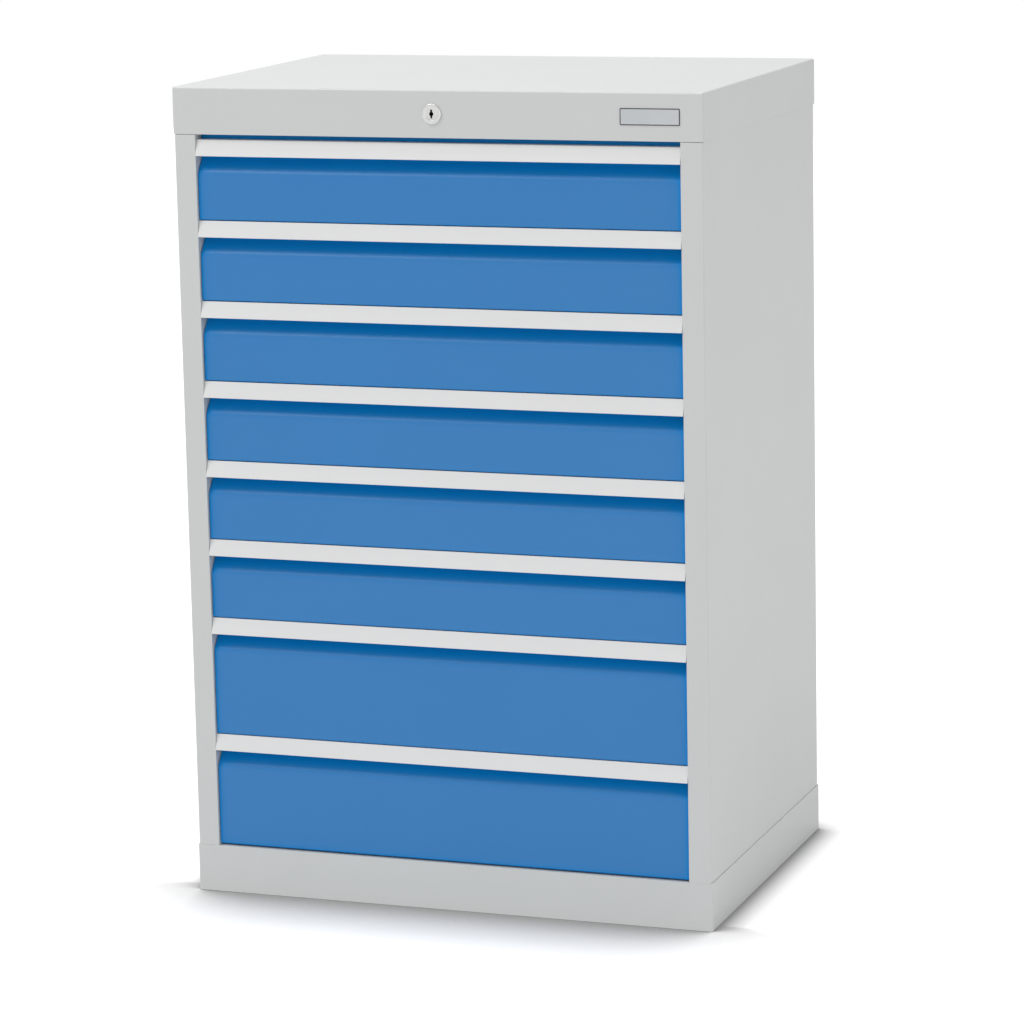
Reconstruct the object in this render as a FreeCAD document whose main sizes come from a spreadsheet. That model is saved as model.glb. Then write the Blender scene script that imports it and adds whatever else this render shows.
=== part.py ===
"""Reagent drawer cabinet: a free-standing sheet-steel cabinet with eight full-extension drawers.

Frame: millimetres, +Z up, origin on the floor under the middle of the cabinet, front towards -Y.

The cabinet is a folded steel carcass (cover, two side panels with their front posts, rear panel and
plinth) around perforated uprights.  Cabinet runners hook into the uprights every 25 mm.  Each drawer is a
tray with a blue front and a sloping handle strip, carried by telescopic runners: a cabinet rail, an
intermediate rail that moves half as far as the drawer, and a drawer rail.  A key turns a long shaft whose
pinion drives a toothed lock bar down behind the drawers, so that its lugs stop every catch bar at once.
"""
import FreeCAD, Part
import math
import os
import Sketcher

DOC = FreeCAD.newDocument("reagent_drawer_cabinet")
OUTPUT_FOLDER = "parts"
ROUNDING_MM3 = 1e-6

# ----------------------------------------------------------------------------- driving dimensions

DIMENSIONS = {
    # carcass
    "overall_width": 680,
    "overall_height": 1019,
    "carcass_depth": 488,
    "front_plane": -243,          # y of the front rail, the posts and the plinth
    "rear_plane": 245,
    "cover_height": 58,
    "plinth_height": 60,
    "cover_sheet": 1.5,
    "panel_sheet": 1.2,
    "bend_radius": 2.5,
    "panel_inset": 1.6,           # the side panels stand this far inside the cover and plinth
    "opening_half_width": 311,
    "post_return": 22,
    "seam_gap": 0.5,
    "tongue_inset": 4.8,
    "plinth_flange": 25,
    "rail_flange": 16,
    "rear_flange": 20,
    "rear_panel_half_width": 337.9,
    "rear_panel_face": 243.4,
    "rear_panel_top": 1000,
    "screw_inset": 12.5,
    "screw_first": 110,
    "screw_pitch": 400,
    "screw_radius": 2,
    "screw_hole_radius": 2.1,
    "screw_length": 6.5,
    "screw_head_half_flat": 3.5,
    "screw_head_height": 1.5,
    # drawer grid
    "usable_depth": 411,
    "low_front": 100,
    "high_front": 150,
    "grid_top": 954.4,            # top of the highest handle
    "front_gap": 1,
    # drawer front and handle
    "front_half_width": 310,
    "front_setback": 4,
    "recess_depth": 18,
    "recess_start": 41,           # below the handle's top
    "recess_end": 23,
    "recess_bend": 10,
    "upper_lip": 5.5,
    "handle_half_width": 310.6,
    "handle_height": 20,
    "handle_setback": 4.5,        # the top edge, behind the front plane
    "handle_proud": 2,            # the lower edge, before the front plane
    "handle_wall": 1.8,
    "handle_face_wall": 2,        # measured along y
    "handle_tab": 8,
    # drawer tray
    "tray_half_width": 301,
    "tray_base_gap": 4,           # tray floor above the bottom of its front
    "tray_top_gap": 19.4,         # tray rim below the top of its handle
    # telescopic runners, as distances from the middle plane of the cabinet
    "runner_centre": 39,          # above the drawer's grid line
    "drawer_rail_face": 306.5,
    "drawer_rail_half": 18.1,
    "middle_rail_inner": 304.5,
    "middle_rail_face": 310.5,
    "middle_rail_half": 20,
    "moving_rail_sheet": 1.5,
    "cabinet_rail_inner": 308,
    "cabinet_rail_face": 314.8,
    "cabinet_rail_half": 22,
    "cabinet_rail_sheet": 1.6,
    "cabinet_rail_start": -219,
    "cabinet_rail_length": 434,
    "middle_rail_start": -215,
    "middle_rail_length": 420,
    "drawer_rail_start": -222,
    "drawer_rail_length": 407,
    # uprights
    "upright_sheet": 1.5,
    "upright_half_depth": 15,
    "upright_front": -190,
    "upright_rear": 180,
    "upright_top": 955,
    "slot_pitch": 25,
    "slot_count": 35,
    "slot_half_height": 9,
    "slot_half_width": 2.5,
    "hook_half_width": 1.5,
    "hook_drop": 5,
    "hook_sheet": 2,
    "hook_rise": 12,
    # lock
    "lock_height": 990,
    "lock_proud": 2,
    "lock_flange_radius": 12.25,
    "lock_flange_chamfer": 0.8,
    "lock_barrel_radius": 9.5,
    "lock_barrel_length": 26,
    "lock_hole_radius": 9.7,
    "plug_radius": 7,
    "plug_bore_radius": 7.05,
    "plug_recess": 0.5,
    "plug_tail_radius": 4,
    "plug_tail_length": 5,
    "tail_hole_radius": 4.1,
    "barrel_end_wall": 3,
    "plug_end_gap": 0.2,
    "keyhole_radius": 2.6,
    "keyhole_half_width": 1.1,
    "keyhole_half_height": 5.25,
    "keyhole_depth": 12,
    "lock_nut_half_flat": 12,
    "lock_nut_thickness": 4,
    "lock_nut_bore_radius": 9.55,
    "shaft_radius": 3,
    "shaft_bore_radius": 3.06,
    "shaft_end": 213,
    "sleeve_gap": 1,              # between the barrel's end and the sleeve
    "sleeve_wall": 2,
    "sleeve_length": 10,
    "tooth_module": 1,
    "pinion_teeth": 16,
    "pinion_start": 197,
    "pinion_end": 203,
    "pressure_angle": 20,
    "backlash": 0.25,
    "bar_near": 198,
    "bar_far": 202,
    "bar_width": 17.75,
    "bar_bottom": 78,
    "bar_top": 1010,
    "lug_reach": -12,
    "lug_height": 8,
    "lug_above_catch": 7,
    # brackets on the rear panel
    "guide_sheet": 2,
    "guide_gap": 0.3,
    "guide_margin": 6,
    "guide_foot": 18,
    "guide_low": 190,
    "guide_middle": 565,
    "guide_high": 945,
    "bearing_sheet": 2.5,
    "bearing_half_width": 11,
    "bearing_below": 13,
    "bearing_overhang": 5,
    # catch on the back of each drawer
    "catch_height": 55,           # above the drawer's grid line
    "catch_plate_left": -24,
    "catch_plate_sheet": 3,
    "catch_plate_half": 8,
    "catch_depth": 22.5,
    "catch_bar_half": 3.5,
    "catch_bar_right": -2,
    "catch_bar_y": 208,
    # plate in the front rail
    "plate_left": 237,
    "plate_width": 74,
    "plate_bottom": 980,
    "plate_height": 20,
    "plate_thickness": 0.8,
}

DRAWER_HEIGHTS = ("low_front",) * 6 + ("high_front",) * 2
SCREWS_PER_SIDE = 3
RACK_TEETH = range(-2, 6)         # tooth numbers of the rack, counted upwards from the shaft's axis
ROOT_IN_MODULES = 1.25            # depth of the teeth below the pitch line
CUT_IN_MODULES = 1.5              # a tooth gap is cut this far past the pitch circle
SAME_PLACE = 0.01                 # two points nearer than this are taken as one


def make_sheet():
    """Write every driving dimension to a spreadsheet as a plain number with an alias."""
    sheet = DOC.addObject("Spreadsheet::Sheet", "Dimensions")
    for row, (alias, value) in enumerate(DIMENSIONS.items(), start=1):
        sheet.set(f"A{row}", alias.replace("_", " "))
        sheet.set(f"B{row}", str(value))
        sheet.setAlias(f"B{row}", alias)
    DOC.recompute()
    return sheet


SHEET = make_sheet()


class Size:
    """A length with its value and the spreadsheet expression that drives it."""

    def __init__(self, value, text):
        self.value = float(value)
        self.text = text

    def __add__(self, other):
        return combined(self, "+", other)

    def __radd__(self, other):
        return combined(other, "+", self)

    def __sub__(self, other):
        return combined(self, "-", other)

    def __rsub__(self, other):
        return combined(other, "-", self)

    def __mul__(self, other):
        return combined(self, "*", other)

    def __rmul__(self, other):
        return combined(other, "*", self)

    def __truediv__(self, other):
        return combined(self, "/", other)

    def __neg__(self):
        return combined(0, "-", self)


def as_size(quantity):
    """Return the quantity as a Size; a plain number becomes its own expression."""
    if isinstance(quantity, Size):
        return quantity
    return Size(quantity, repr(float(quantity)))


def combined(left, symbol, right):
    """Join two quantities with + - * or /, in value and in expression."""
    left = as_size(left)
    right = as_size(right)
    results = {
        "+": lambda: left.value + right.value,
        "-": lambda: left.value - right.value,
        "*": lambda: left.value * right.value,
        "/": lambda: left.value / right.value,
    }
    return Size(results[symbol](), f"({left.text} {symbol} {right.text})")


def dim(alias):
    """Read one driving dimension from the spreadsheet."""
    return Size(SHEET.get(alias), f"Dimensions.{alias}")


# ----------------------------------------------------------------------------- modelling helpers

PLANE_OF_AXIS = {"X": "YZ_Plane", "Y": "XZ_Plane", "Z": "XY_Plane"}
# The XZ plane's normal points along -Y, so a prism along +Y runs against it.
NORMAL_SIGN = {"X": 1, "Y": -1, "Z": 1}


def bind(feature, path, size):
    """Drive one property of a feature by a spreadsheet expression."""
    feature.setExpression(path, as_size(size).text)


def new_body(label):
    """Start an empty PartDesign body."""
    body = DOC.addObject("PartDesign::Body", label)
    body.Label = label
    return body


def origin_plane(body, role):
    """Find one of the body's own origin planes by its role."""
    return next(plane for plane in body.Origin.OriginFeatures if plane.Role == role)


def hold_point(sketch, curve, place, corner):
    """Hold one end of a sketch curve by two driven distances from the sketch's origin."""
    for kind, size in (("DistanceX", corner[0]), ("DistanceY", corner[1])):
        size = as_size(size)
        number = sketch.addConstraint(Sketcher.Constraint(kind, -1, 1, curve, place, size.value))
        sketch.setExpression(f"Constraints[{number}]", size.text)


def add_loop(sketch, corners):
    """Draw a closed outline of straight lines through the corners."""
    points = [FreeCAD.Vector(as_size(a).value, as_size(b).value, 0) for a, b in corners]
    first = sketch.GeometryCount
    count = len(points)
    for index, point in enumerate(points):
        sketch.addGeometry(Part.LineSegment(point, points[(index + 1) % count]))
    for index in range(count):
        following = first + (index + 1) % count
        sketch.addConstraint(Sketcher.Constraint("Coincident", first + index, 2, following, 1))
        hold_point(sketch, first + index, 1, corners[index])


def add_circle(sketch, centre, radius):
    """Draw a circle whose centre and radius are driven."""
    middle = FreeCAD.Vector(as_size(centre[0]).value, as_size(centre[1]).value, 0)
    curve = sketch.addGeometry(Part.Circle(middle, FreeCAD.Vector(0, 0, 1), as_size(radius).value))
    hold_point(sketch, curve, 3, centre)
    number = sketch.addConstraint(Sketcher.Constraint("Radius", curve, as_size(radius).value))
    sketch.setExpression(f"Constraints[{number}]", as_size(radius).text)


def add_sketch(body, name, axis, start, loops=(), circles=()):
    """Sketch on the body's origin plane normal to the axis, moved along it to the start."""
    sketch = body.newObject("Sketcher::SketchObject", f"{body.Name}_{name}_sketch")
    sketch.AttachmentSupport = (origin_plane(body, PLANE_OF_AXIS[axis]), "")
    sketch.MapMode = "FlatFace"
    for corners in loops:
        add_loop(sketch, corners)
    for centre, radius in circles:
        add_circle(sketch, centre, radius)
    bind(sketch, "AttachmentOffset.Base.z", NORMAL_SIGN[axis] * as_size(start))
    return sketch


def add_prism(body, kind, name, axis, start, length, loops=(), circles=()):
    """Pad or pocket an outline from the start along the axis; both run in the + direction."""
    sketch = add_sketch(body, name, axis, start, loops, circles)
    volume_before = body.Shape.Volume if body.Tip else 0.0
    feature = body.newObject(f"PartDesign::{kind}", f"{body.Name}_{name}")
    feature.Profile = sketch
    bind(feature, "Length", length)
    with_normal = kind == "Pad"
    feature.Reversed = with_normal != (NORMAL_SIGN[axis] == 1)
    DOC.recompute()
    change = body.Shape.Volume - volume_before
    if (change > 0) != (kind == "Pad") or abs(change) < ROUNDING_MM3:
        raise RuntimeError(f"{feature.Name} changes the volume by {change:.4f} mm3")
    return feature


def add_fillet(body, name, radius, chosen):
    """Round the edges of the body for which chosen(edge) is true."""
    base = body.Tip
    edges = [f"Edge{index}" for index, edge in enumerate(base.Shape.Edges, start=1) if chosen(edge)]
    fillet = body.newObject("PartDesign::Fillet", f"{body.Name}_{name}")
    fillet.Base = (base, edges)
    bind(fillet, "Radius", radius)
    DOC.recompute()
    return fillet


def box_loop(low, high):
    """Corners of a rectangle from its low and high corner."""
    return [(low[0], low[1]), (high[0], low[1]), (high[0], high[1]), (low[0], high[1])]


def hexagon_loop(half_flat):
    """Corners of a regular hexagon about (0, 0), from half its width across flats."""
    corner = half_flat / math.cos(math.radians(30))
    turns = [math.radians(60 * step) for step in range(6)]
    return [(corner * math.cos(turn), corner * math.sin(turn)) for turn in turns]


def along(edge, axis):
    """True for a straight edge parallel to the axis vector."""
    ends = edge.Vertexes
    if len(ends) != 2:
        return False
    direction = ends[1].Point - ends[0].Point
    return direction.Length > 0 and direction.cross(axis).Length < 1e-6 * direction.Length


def mirrored(shape):
    """The same shape on the other side of the cabinet."""
    return shape.mirror(FreeCAD.Vector(0, 0, 0), FreeCAD.Vector(1, 0, 0))


def moved(shape, x=0, y=0, z=0):
    """A copy of the shape, shifted by plain numbers or sizes."""
    copy = shape.copy()
    copy.translate(FreeCAD.Vector(*(as_size(shift).value for shift in (x, y, z))))
    return copy


def group_node(label, shapes):
    """One sub-part made of several like solids, such as a pair of rails or a set of screws."""
    node = DOC.addObject("Part::Feature", label)
    node.Label = label
    node.Shape = Part.makeCompound(shapes)
    return node


# ----------------------------------------------------------------------------- shared places

FRONT = dim("front_plane")
REAR = dim("rear_plane")
HALF_WIDTH = dim("overall_width") / 2
TOP = dim("overall_height")
COVER_BOTTOM = TOP - dim("cover_height")
PLINTH_TOP = dim("plinth_height")
SIDE_FACE = HALF_WIDTH - dim("panel_inset")
OPENING = dim("opening_half_width")
FRONT_BACK = FRONT + dim("recess_depth") + dim("panel_sheet")
TRAY_REAR = FRONT_BACK + dim("usable_depth") + 2 * dim("panel_sheet")
X_AXIS = FreeCAD.Vector(1, 0, 0)
Y_AXIS = FreeCAD.Vector(0, 1, 0)
Z_AXIS = FreeCAD.Vector(0, 0, 1)


def drawer_levels():
    """For each drawer from the top: its grid line (the top of the handle below) and its height."""
    top = dim("grid_top")
    levels = []
    for height_alias in DRAWER_HEIGHTS:
        height = dim(height_alias)
        top = top - height
        levels.append((top, height))
    return levels


LEVELS = drawer_levels()

# ----------------------------------------------------------------------------- carcass


def make_top_cover():
    """Cover: a folded tray turned upside down, whose front skirt is the rail with the lock."""
    sheet = dim("cover_sheet")
    body = new_body("top_cover")
    outline = box_loop((-HALF_WIDTH, FRONT), (HALF_WIDTH, REAR))
    add_prism(body, "Pad", "blank", "Z", COVER_BOTTOM, dim("cover_height"), [outline])
    top_height = TOP.value

    def outer_bend(edge):
        return along(edge, Z_AXIS) or abs(edge.CenterOfMass.z - top_height) < ROUNDING_MM3

    add_fillet(body, "bends", dim("bend_radius"), outer_bend)
    inside = box_loop((-HALF_WIDTH + sheet, FRONT + sheet), (HALF_WIDTH - sheet, REAR - sheet))
    add_prism(body, "Pocket", "hollow", "Z", COVER_BOTTOM, dim("cover_height") - sheet, [inside])
    hole = ((0, dim("lock_height")), dim("lock_hole_radius"))
    add_prism(body, "Pocket", "lock_hole", "Y", FRONT, sheet, circles=[hole])
    return body


def make_front_rail_stiffener():
    """Flat strip welded along the lower edge of the front rail, inside it, above the first drawer."""
    sheet = dim("cover_sheet")
    body = new_body("front_rail_stiffener")
    strip = box_loop((-OPENING, FRONT + sheet), (OPENING, FRONT + dim("rail_flange")))
    add_prism(body, "Pad", "strip", "Z", COVER_BOTTOM, sheet, [strip])
    return body


def make_cover_tongues():
    """Two strips that continue the side panels up inside the cover and carry it."""
    sheet = dim("panel_sheet")
    flange_face = dim("rear_panel_face") - sheet
    start = COVER_BOTTOM - dim("seam_gap")
    body = new_body("cover_tongue")
    inset = dim("tongue_inset")
    tongue = box_loop((SIDE_FACE - sheet, FRONT + inset), (SIDE_FACE, flange_face - inset))
    add_prism(body, "Pad", "strip", "Z", start, TOP - dim("cover_sheet") - start, [tongue])
    return group_node("cover_tongues", [body.Shape, mirrored(body.Shape)])


def make_base_plinth():
    """Plinth: a folded tray with its floor on top and an inward flange that rests on the ground."""
    sheet = dim("cover_sheet")
    flange = dim("plinth_flange")
    body = new_body("base_plinth")
    outline = box_loop((-HALF_WIDTH, FRONT), (HALF_WIDTH, REAR))
    add_prism(body, "Pad", "blank", "Z", 0, PLINTH_TOP, [outline])
    add_fillet(body, "bends", dim("bend_radius"), lambda edge: along(edge, Z_AXIS))
    inside = box_loop((-HALF_WIDTH + sheet, FRONT + sheet), (HALF_WIDTH - sheet, REAR - sheet))
    add_prism(body, "Pocket", "hollow", "Z", sheet, PLINTH_TOP - 2 * sheet, [inside])
    mouth = box_loop((-HALF_WIDTH + flange, FRONT + flange), (HALF_WIDTH - flange, REAR - flange))
    add_prism(body, "Pocket", "mouth", "Z", 0, sheet, [mouth])
    return body


def screw_heights():
    """Heights of the rear panel's screws."""
    return [dim("screw_first") + dim("screw_pitch") * step for step in range(SCREWS_PER_SIDE)]


def screw_places():
    """Places (x, z) of all the rear panel's screws, the left side first."""
    across = SIDE_FACE - dim("screw_inset")
    return [(side * across, height) for side in (-1, 1) for height in screw_heights()]


def make_right_side_panel():
    """Side panel folded at the front into a post with a return, and at the rear into a flange."""
    sheet = dim("panel_sheet")
    flange_face = dim("rear_panel_face") - sheet
    body = new_body("right_side_panel")
    outline = [
        (OPENING, FRONT),
        (SIDE_FACE, FRONT),
        (SIDE_FACE, flange_face),
        (SIDE_FACE - dim("rear_flange"), flange_face),
        (SIDE_FACE - dim("rear_flange"), flange_face - sheet),
        (SIDE_FACE - sheet, flange_face - sheet),
        (SIDE_FACE - sheet, FRONT + sheet),
        (OPENING + sheet, FRONT + sheet),
        (OPENING + sheet, FRONT + dim("post_return")),
        (OPENING, FRONT + dim("post_return")),
    ]
    height = COVER_BOTTOM - dim("seam_gap") - PLINTH_TOP
    add_prism(body, "Pad", "folded_panel", "Z", PLINTH_TOP, height, [outline])
    corner = FreeCAD.Vector(SIDE_FACE.value, FRONT.value, 0)

    def outer_corner(edge):
        middle = edge.CenterOfMass
        level_middle = FreeCAD.Vector(middle.x, middle.y, 0)
        return along(edge, Z_AXIS) and (level_middle - corner).Length < SAME_PLACE

    add_fillet(body, "front_bend", dim("bend_radius") - dim("cover_sheet") / 2, outer_corner)
    across = SIDE_FACE - dim("screw_inset")
    holes = [((across, height), dim("screw_hole_radius")) for height in screw_heights()]
    add_prism(body, "Pocket", "screw_holes", "Y", flange_face - sheet, sheet, circles=holes)
    return body


def make_rear_panel():
    """Flat rear panel, screwed to the side panels' flanges and tucked into the cover."""
    sheet = dim("panel_sheet")
    half = dim("rear_panel_half_width")
    body = new_body("rear_panel")
    outline = box_loop((-half, PLINTH_TOP), (half, dim("rear_panel_top")))
    holes = [(place, dim("screw_hole_radius")) for place in screw_places()]
    start = dim("rear_panel_face") - sheet
    add_prism(body, "Pad", "panel", "Y", start, sheet, [outline])
    add_prism(body, "Pocket", "screw_holes", "Y", start, sheet, circles=holes)
    return body


def make_rear_screws():
    """Hexagon-head screws that hold the rear panel."""
    length = dim("screw_length")
    body = new_body("rear_screw")
    hexagon = hexagon_loop(dim("screw_head_half_flat"))
    add_prism(body, "Pad", "head", "Y", 0, dim("screw_head_height"), [hexagon])
    add_prism(body, "Pad", "shank", "Y", -length, length, circles=[((0, 0), dim("screw_radius"))])
    shapes = [moved(body.Shape, x, dim("rear_panel_face"), z) for x, z in screw_places()]
    return group_node("rear_screws", shapes)


def make_name_plate():
    """Blank plate at the right end of the front rail."""
    body = new_body("name_plate")
    left = dim("plate_left")
    bottom = dim("plate_bottom")
    outline = box_loop((left, bottom), (left + dim("plate_width"), bottom + dim("plate_height")))
    thickness = dim("plate_thickness")
    add_prism(body, "Pad", "plate", "Y", FRONT - thickness, thickness, [outline])
    add_fillet(body, "corners", thickness, lambda edge: along(edge, Y_AXIS))
    return body


# ----------------------------------------------------------------------------- uprights and runners


def make_runner_uprights():
    """Four perforated channels, one at the front and one at the rear of each side."""
    sheet = dim("upright_sheet")
    face = dim("cabinet_rail_face")
    back = SIDE_FACE - dim("panel_sheet")
    half = dim("upright_half_depth")
    body = new_body("upright_channel")
    outline = [
        (face, -half), (back, -half), (back, sheet - half), (face + sheet, sheet - half),
        (face + sheet, half - sheet), (back, half - sheet), (back, half), (face, half),
    ]
    add_prism(body, "Pad", "channel", "Z", PLINTH_TOP, dim("upright_top") - PLINTH_TOP, [outline])
    lowest = LEVELS[-1][0] + dim("runner_centre")
    slot = box_loop(
        (-dim("slot_half_width"), lowest - dim("slot_half_height")),
        (dim("slot_half_width"), lowest + dim("slot_half_height")),
    )
    pocket = add_prism(body, "Pocket", "slot", "X", face, sheet, [slot])
    pattern = body.newObject("PartDesign::LinearPattern", "upright_slots")
    pattern.Originals = [pocket]
    pattern.Direction = (pocket.Profile[0], ["V_Axis"])
    pattern.Mode = "Spacing"
    bind(pattern, "Offset", dim("slot_pitch"))
    bind(pattern, "Occurrences", dim("slot_count"))
    body.Tip = pattern
    DOC.recompute()
    pair = [moved(body.Shape, y=dim(place)) for place in ("upright_front", "upright_rear")]
    return group_node("runner_uprights", pair + [mirrored(shape) for shape in pair])


def channel_loop(inner, outer, half, sheet):
    """C-section opening towards the drawer: its web at the outer side, its flanges inwards."""
    return [
        (inner, -half), (outer, -half), (outer, half), (inner, half),
        (inner, half - sheet), (outer - sheet, half - sheet),
        (outer - sheet, sheet - half), (inner, sheet - half),
    ]


def make_rail_body(label, inner, outer, half, sheet, start, length):
    """One straight rail of the right-hand side, centred on z = 0."""
    body = new_body(label)
    loop = channel_loop(inner, outer, half, sheet)
    add_prism(body, "Pad", "rail", "Y", start, length, [loop])
    return body


def make_cabinet_runners():
    """The sixteen fixed rails, each hooked into a front and a rear upright."""
    face = dim("cabinet_rail_face")
    sheet = dim("cabinet_rail_sheet")
    body = make_rail_body(
        "cabinet_runner", dim("cabinet_rail_inner"), face, dim("cabinet_rail_half"), sheet,
        dim("cabinet_rail_start"), dim("cabinet_rail_length"),
    )
    seat = -dim("slot_half_height")
    back = face + dim("upright_sheet")
    tip = seat - dim("hook_drop")
    outer = back + dim("hook_sheet")
    crown = seat + dim("hook_rise")
    hook = [(face, seat), (back, seat), (back, tip), (outer, tip), (outer, crown), (face, crown)]
    half = dim("hook_half_width")
    for place in ("upright_front", "upright_rear"):
        add_prism(body, "Pad", f"hook_at_{place}", "Y", dim(place) - half, 2 * half, [hook])
    right = [moved(body.Shape, z=level + dim("runner_centre")) for level, _ in LEVELS]
    return group_node("cabinet_runners", right + [mirrored(shape) for shape in right])


# ----------------------------------------------------------------------------- drawers


def front_span(index):
    """Bottom and top of a drawer front above its own grid line."""
    level, height = LEVELS[index]
    last = index == len(LEVELS) - 1
    bottom = PLINTH_TOP + 2 * dim("front_gap") - level if last else dim("front_gap")
    top = height + dim("upper_lip") if index == 0 else height
    return bottom, top


def make_drawer_front(index):
    """Front: one bent sheet with closed ends; its face bends back into the grip recess."""
    _, height = LEVELS[index]
    bottom, top = front_span(index)
    sheet = dim("panel_sheet")
    half = dim("front_half_width")
    face = FRONT + dim("front_setback")
    deep = FRONT + dim("recess_depth")
    start = height - dim("recess_start")
    end = height - dim("recess_end")
    body = new_body(f"drawer_{index + 1}_front")
    outline = [(face, bottom), (face, start), (deep, end), (deep, top), (FRONT_BACK, top),
               (FRONT_BACK, bottom)]
    add_prism(body, "Pad", "blank", "X", -half, 2 * half, [outline])

    def recess_bend(edge):
        middle = edge.CenterOfMass
        places = ((face, start), (deep, end))
        near = [abs(middle.y - y.value) + abs(middle.z - z.value) < SAME_PLACE for y, z in places]
        return along(edge, X_AXIS) and any(near)

    add_fillet(body, "recess_bends", dim("recess_bend"), recess_bend)
    slope = math.hypot(deep.value - face.value, end.value - start.value)
    lean = sheet * ((slope - (deep.value - face.value)) / (end.value - start.value))
    hollow = [(face + sheet, bottom + sheet), (face + sheet, start - lean),
              (FRONT_BACK, end - lean), (FRONT_BACK, bottom + sheet)]
    add_prism(body, "Pocket", "hollow", "X", sheet - half, 2 * (half - sheet), [hollow])
    return body


def make_drawer_handle(index):
    """Handle: an extruded strip whose flat face leans back over a finger gap open from below."""
    _, height = LEVELS[index]
    wall = dim("handle_wall")
    half = dim("handle_half_width")
    nose = FRONT - dim("handle_proud")
    crest = FRONT + dim("handle_setback")
    deep = FRONT + dim("recess_depth")
    low = height - dim("handle_height")
    tab_end = height - dim("handle_tab")
    face_wall = dim("handle_face_wall")
    lean = (crest - nose) / dim("handle_height")
    body = new_body(f"drawer_{index + 1}_handle")
    outline = [
        (nose, low), (crest, height), (deep, height), (deep, tab_end), (deep - wall, tab_end),
        (deep - wall, height - wall), (crest + face_wall - lean * wall, height - wall),
        (nose + face_wall, low),
    ]
    add_prism(body, "Pad", "strip", "X", -half, 2 * half, [outline])
    return body


def make_drawer_tray(index):
    """Tray: floor and four walls of folded sheet."""
    level, height = LEVELS[index]
    sheet = dim("panel_sheet")
    half = dim("tray_half_width")
    floor = front_span(index)[0] + dim("tray_base_gap")
    rim = height - dim("tray_top_gap")
    body = new_body(f"drawer_{index + 1}_tray")
    outline = box_loop((-half, FRONT_BACK), (half, TRAY_REAR))
    add_prism(body, "Pad", "blank", "Z", floor, rim - floor, [outline])
    inside = box_loop((sheet - half, FRONT_BACK + sheet), (half - sheet, TRAY_REAR - sheet))
    add_prism(body, "Pocket", "hollow", "Z", floor + sheet, rim - floor - sheet, [inside])
    return body


def make_catch_shapes():
    """Catch on the tray's rear wall: a standing plate and the bar that the lock bar's lug stops."""
    left = dim("catch_plate_left").value
    sheet = dim("catch_plate_sheet").value
    half = dim("catch_plate_half").value
    bar_half = dim("catch_bar_half").value
    middle = dim("catch_height").value
    plate_corner = FreeCAD.Vector(left, TRAY_REAR.value, middle - half)
    plate = Part.makeBox(sheet, dim("catch_depth").value, 2 * half, plate_corner)
    start = left + sheet
    reach = dim("catch_bar_right").value - start
    bar_corner = FreeCAD.Vector(start, dim("catch_bar_y").value - bar_half, middle - bar_half)
    bar = Part.makeBox(reach, 2 * bar_half, 2 * bar_half, bar_corner)
    return [plate, bar]


def make_drawers(drawer_rail, middle_rail):
    """All eight drawers, each moved up to its own grid line."""
    lift = dim("runner_centre")
    drawer_pair = [drawer_rail.Shape, mirrored(drawer_rail.Shape)]
    middle_pair = [middle_rail.Shape, mirrored(middle_rail.Shape)]
    nodes = []
    for index, (level, _) in enumerate(LEVELS):
        rails = [moved(shape, z=lift) for shape in drawer_pair] + make_catch_shapes()
        middle = [moved(shape, z=lift) for shape in middle_pair]
        pieces = [
            make_drawer_front(index),
            make_drawer_handle(index),
            make_drawer_tray(index),
            group_node(f"drawer_{index + 1}_rails_and_catch", rails),
            group_node(f"drawer_{index + 1}_middle_rails", middle),
        ]
        for piece in pieces:
            bind(piece, "Placement.Base.z", level)
        nodes.extend(pieces)
    return nodes


# ----------------------------------------------------------------------------- central lock


def turned(label, profile):
    """A body turned about the lock's axis from (radius, y) corners, placed at the lock."""
    body = new_body(label)
    sketch = body.newObject("Sketcher::SketchObject", f"{label}_profile")
    sketch.AttachmentSupport = (origin_plane(body, "XY_Plane"), "")
    sketch.MapMode = "FlatFace"
    add_loop(sketch, profile)
    turn = body.newObject("PartDesign::Revolution", f"{label}_turned")
    turn.Profile = sketch
    turn.ReferenceAxis = (sketch, ["V_Axis"])
    turn.Angle = 360
    bind(body, "Placement.Base.z", dim("lock_height"))
    DOC.recompute()
    return body


def make_lock_housing():
    """Lock housing: a front flange, a barrel through the rail and a bore for the plug."""
    mouth = FRONT - dim("lock_proud")
    end = FRONT + dim("lock_barrel_length")
    bore = dim("plug_bore_radius")
    rim = dim("lock_flange_radius")
    chamfer = dim("lock_flange_chamfer")
    barrel = dim("lock_barrel_radius")
    tail_hole = dim("tail_hole_radius")
    end_wall = end - dim("barrel_end_wall")
    profile = [
        (bore, mouth), (rim - chamfer, mouth), (rim, mouth + chamfer), (rim, FRONT),
        (barrel, FRONT), (barrel, end), (tail_hole, end), (tail_hole, end_wall), (bore, end_wall),
    ]
    return turned("lock_housing", profile)


def make_lock_plug():
    """Plug with a round keyhole and two key slots, and a tail that turns the shaft."""
    mouth = FRONT - dim("lock_proud") + dim("plug_recess")
    end = FRONT + dim("lock_barrel_length")
    radius = dim("plug_radius")
    tail = dim("plug_tail_radius")
    shoulder = end - dim("barrel_end_wall") - dim("plug_end_gap")
    tail_end = end + dim("plug_tail_length")
    profile = [(0, mouth), (radius, mouth), (radius, shoulder), (tail, shoulder),
               (tail, tail_end), (0, tail_end)]
    body = turned("lock_plug", profile)
    half_width = dim("keyhole_half_width")
    half_height = dim("keyhole_half_height")
    depth = dim("keyhole_depth")
    slot = box_loop((-half_width, -half_height), (half_width, half_height))
    add_prism(body, "Pocket", "key_slot", "Y", mouth, depth, [slot])
    add_prism(body, "Pocket", "keyhole", "Y", mouth, depth, circles=[((0, 0), dim("keyhole_radius"))])
    return body


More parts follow.
